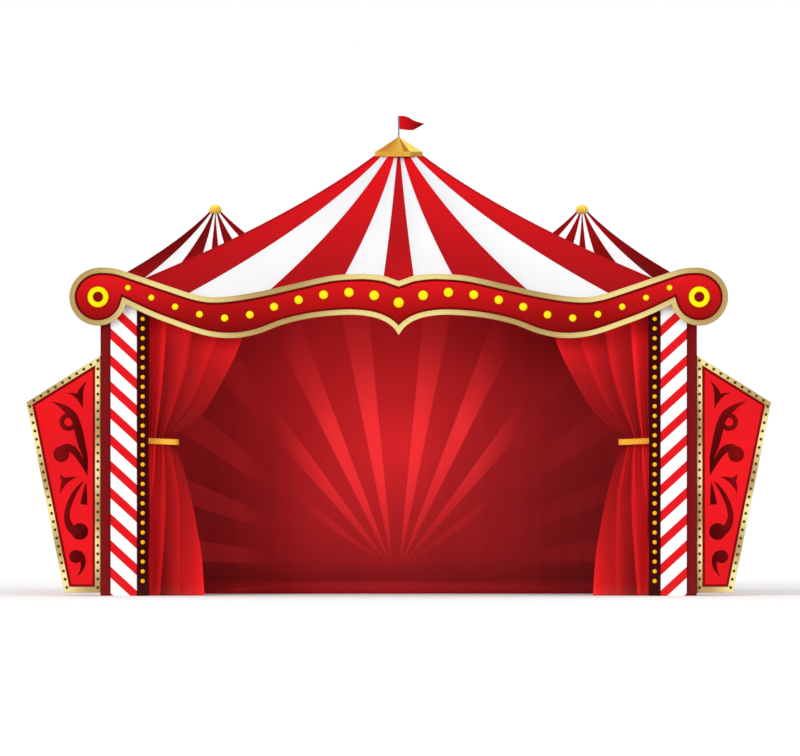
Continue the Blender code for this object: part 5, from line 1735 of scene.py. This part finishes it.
# Half the width of the studio's floor
FLOOR_REACH = 3000.0

# Wide lights: degrees to the right of the front, degrees up, and degrees wide
KEY_LIGHT = (-38.0, 16.0, 26.0)
FILL_LIGHT = (34.0, 10.0, 50.0)


class BIGTOP_OT_studio(bpy.types.Operator):
    """Pale floor, even sky, two wide lights, and the camera that looks along +Y"""
    bl_idname = "bigtop.studio"
    bl_label = "Studio"

    def execute(self, context):
        settings = context.scene.big_top.studio
        self.floor(settings)
        self.sky(settings)
        self.sun("Key", settings.key, *KEY_LIGHT)
        self.sun("Fill", settings.fill, *FILL_LIGHT)
        width = settings.pixel * PICTURE_WIDTH
        camera = bpy.data.cameras.new("Camera")
        camera.lens, camera.sensor_width = settings.lens, settings.sensor
        away = width * settings.lens / settings.sensor
        camera.clip_start, camera.clip_end = away * 0.5, away * 3.0
        holder = bpy.data.objects.new("Camera", camera)
        context.scene.collection.objects.link(holder)
        rise, back = away * math.sin(settings.tilt), away * math.cos(settings.tilt)
        holder.location = (settings.aim[0], FRONT_Y - back, settings.aim[2] + rise)
        holder.rotation_euler = (math.pi / 2.0 - settings.tilt, 0.0, 0.0)
        context.scene.camera = holder
        context.scene.view_settings.view_transform = "Standard"
        return {"FINISHED"}

    def sun(self, name, strength, turn, height, wide):
        """A wide light from in front, turned to the right and raised by these degrees."""
        data = bpy.data.lights.new(name, "SUN")
        data.energy = strength
        data.angle = math.radians(wide)
        lamp = bpy.data.objects.new(name, data)
        bpy.context.scene.collection.objects.link(lamp)
        a, e = math.radians(turn), math.radians(height)
        towards = Vector((math.sin(a) * math.cos(e), -math.cos(a) * math.cos(e), math.sin(e)))
        lamp.rotation_euler = towards.to_track_quat("Z", "Y").to_euler()

    def floor(self, settings):
        """A wide square at ground level."""
        material, _, shader, _, _, _ = open_material("Studio floor", 0.9, specular=0.0)
        shader.inputs["Base Color"].default_value = (*settings.floor, 1.0)
        reach = np.array([-FLOOR_REACH, FLOOR_REACH])
        corners = stacked(reach, reach[:, None], 0.0)
        build_piece("studio_floor", [patch(corners)], material, turn_out=False)

    def sky(self, settings):
        """Even light: the camera sees the floor's own tone, so that no horizon shows."""
        world = bpy.data.worlds.new("Studio sky")
        bpy.context.scene.world = world
        world.use_nodes = True
        tree = world.node_tree
        background = tree.nodes["Background"]
        seen = node(tree, "ShaderNodeLightPath")
        tree.links.new(span(tree, seen, 0.0, 1.0, settings.sky, 1.0), background.inputs["Strength"])
        background.inputs["Color"].default_value = (1.0, 1.0, 1.0, 1.0)


OPERATORS = (BIGTOP_OT_main_canopy, BIGTOP_OT_towers, BIGTOP_OT_walls, BIGTOP_OT_valances,
             BIGTOP_OT_show_board, BIGTOP_OT_pillars, BIGTOP_OT_wings, BIGTOP_OT_curtains,
             BIGTOP_OT_backdrop, BIGTOP_OT_crown, BIGTOP_OT_frame, BIGTOP_OT_studio)


class BIGTOP_PT_sidebar(bpy.types.Panel):
    """Lists the pieces of the big top and their sizes"""
    bl_label = "Circus Big Top"
    bl_idname = "BIGTOP_PT_sidebar"
    bl_space_type = "VIEW_3D"
    bl_region_type = "UI"
    bl_category = "Big Top"

    def draw(self, context):
        settings = context.scene.big_top
        for group in (settings.canvas, settings.front, settings.stage, settings.studio):
            box = self.layout.box()
            for key in group.bl_rna.properties.keys():
                if key not in ("rna_type", "name"):
                    box.prop(group, key)
        column = self.layout.column(align=True)
        for operator in OPERATORS:
            column.operator(operator.bl_idname)


CLASSES = (BigTopCanvas, BigTopFront, BigTopStage, BigTopStudio, BigTopSettings, *OPERATORS,
           BIGTOP_PT_sidebar)


def register():
    """Adds the settings, the operators and the sidebar."""
    for item in CLASSES:
        bpy.utils.register_class(item)
    bpy.types.Scene.big_top = PointerProperty(type=BigTopSettings)


def unregister():
    """Takes them away again."""
    del bpy.types.Scene.big_top
    for item in reversed(CLASSES):
        bpy.utils.unregister_class(item)


def main():
    """Builds every piece in order."""
    register()
    for operator in OPERATORS:
        family, action = operator.bl_idname.split(".")
        getattr(getattr(bpy.ops, family), action)()


if __name__ == "__main__":
    main()
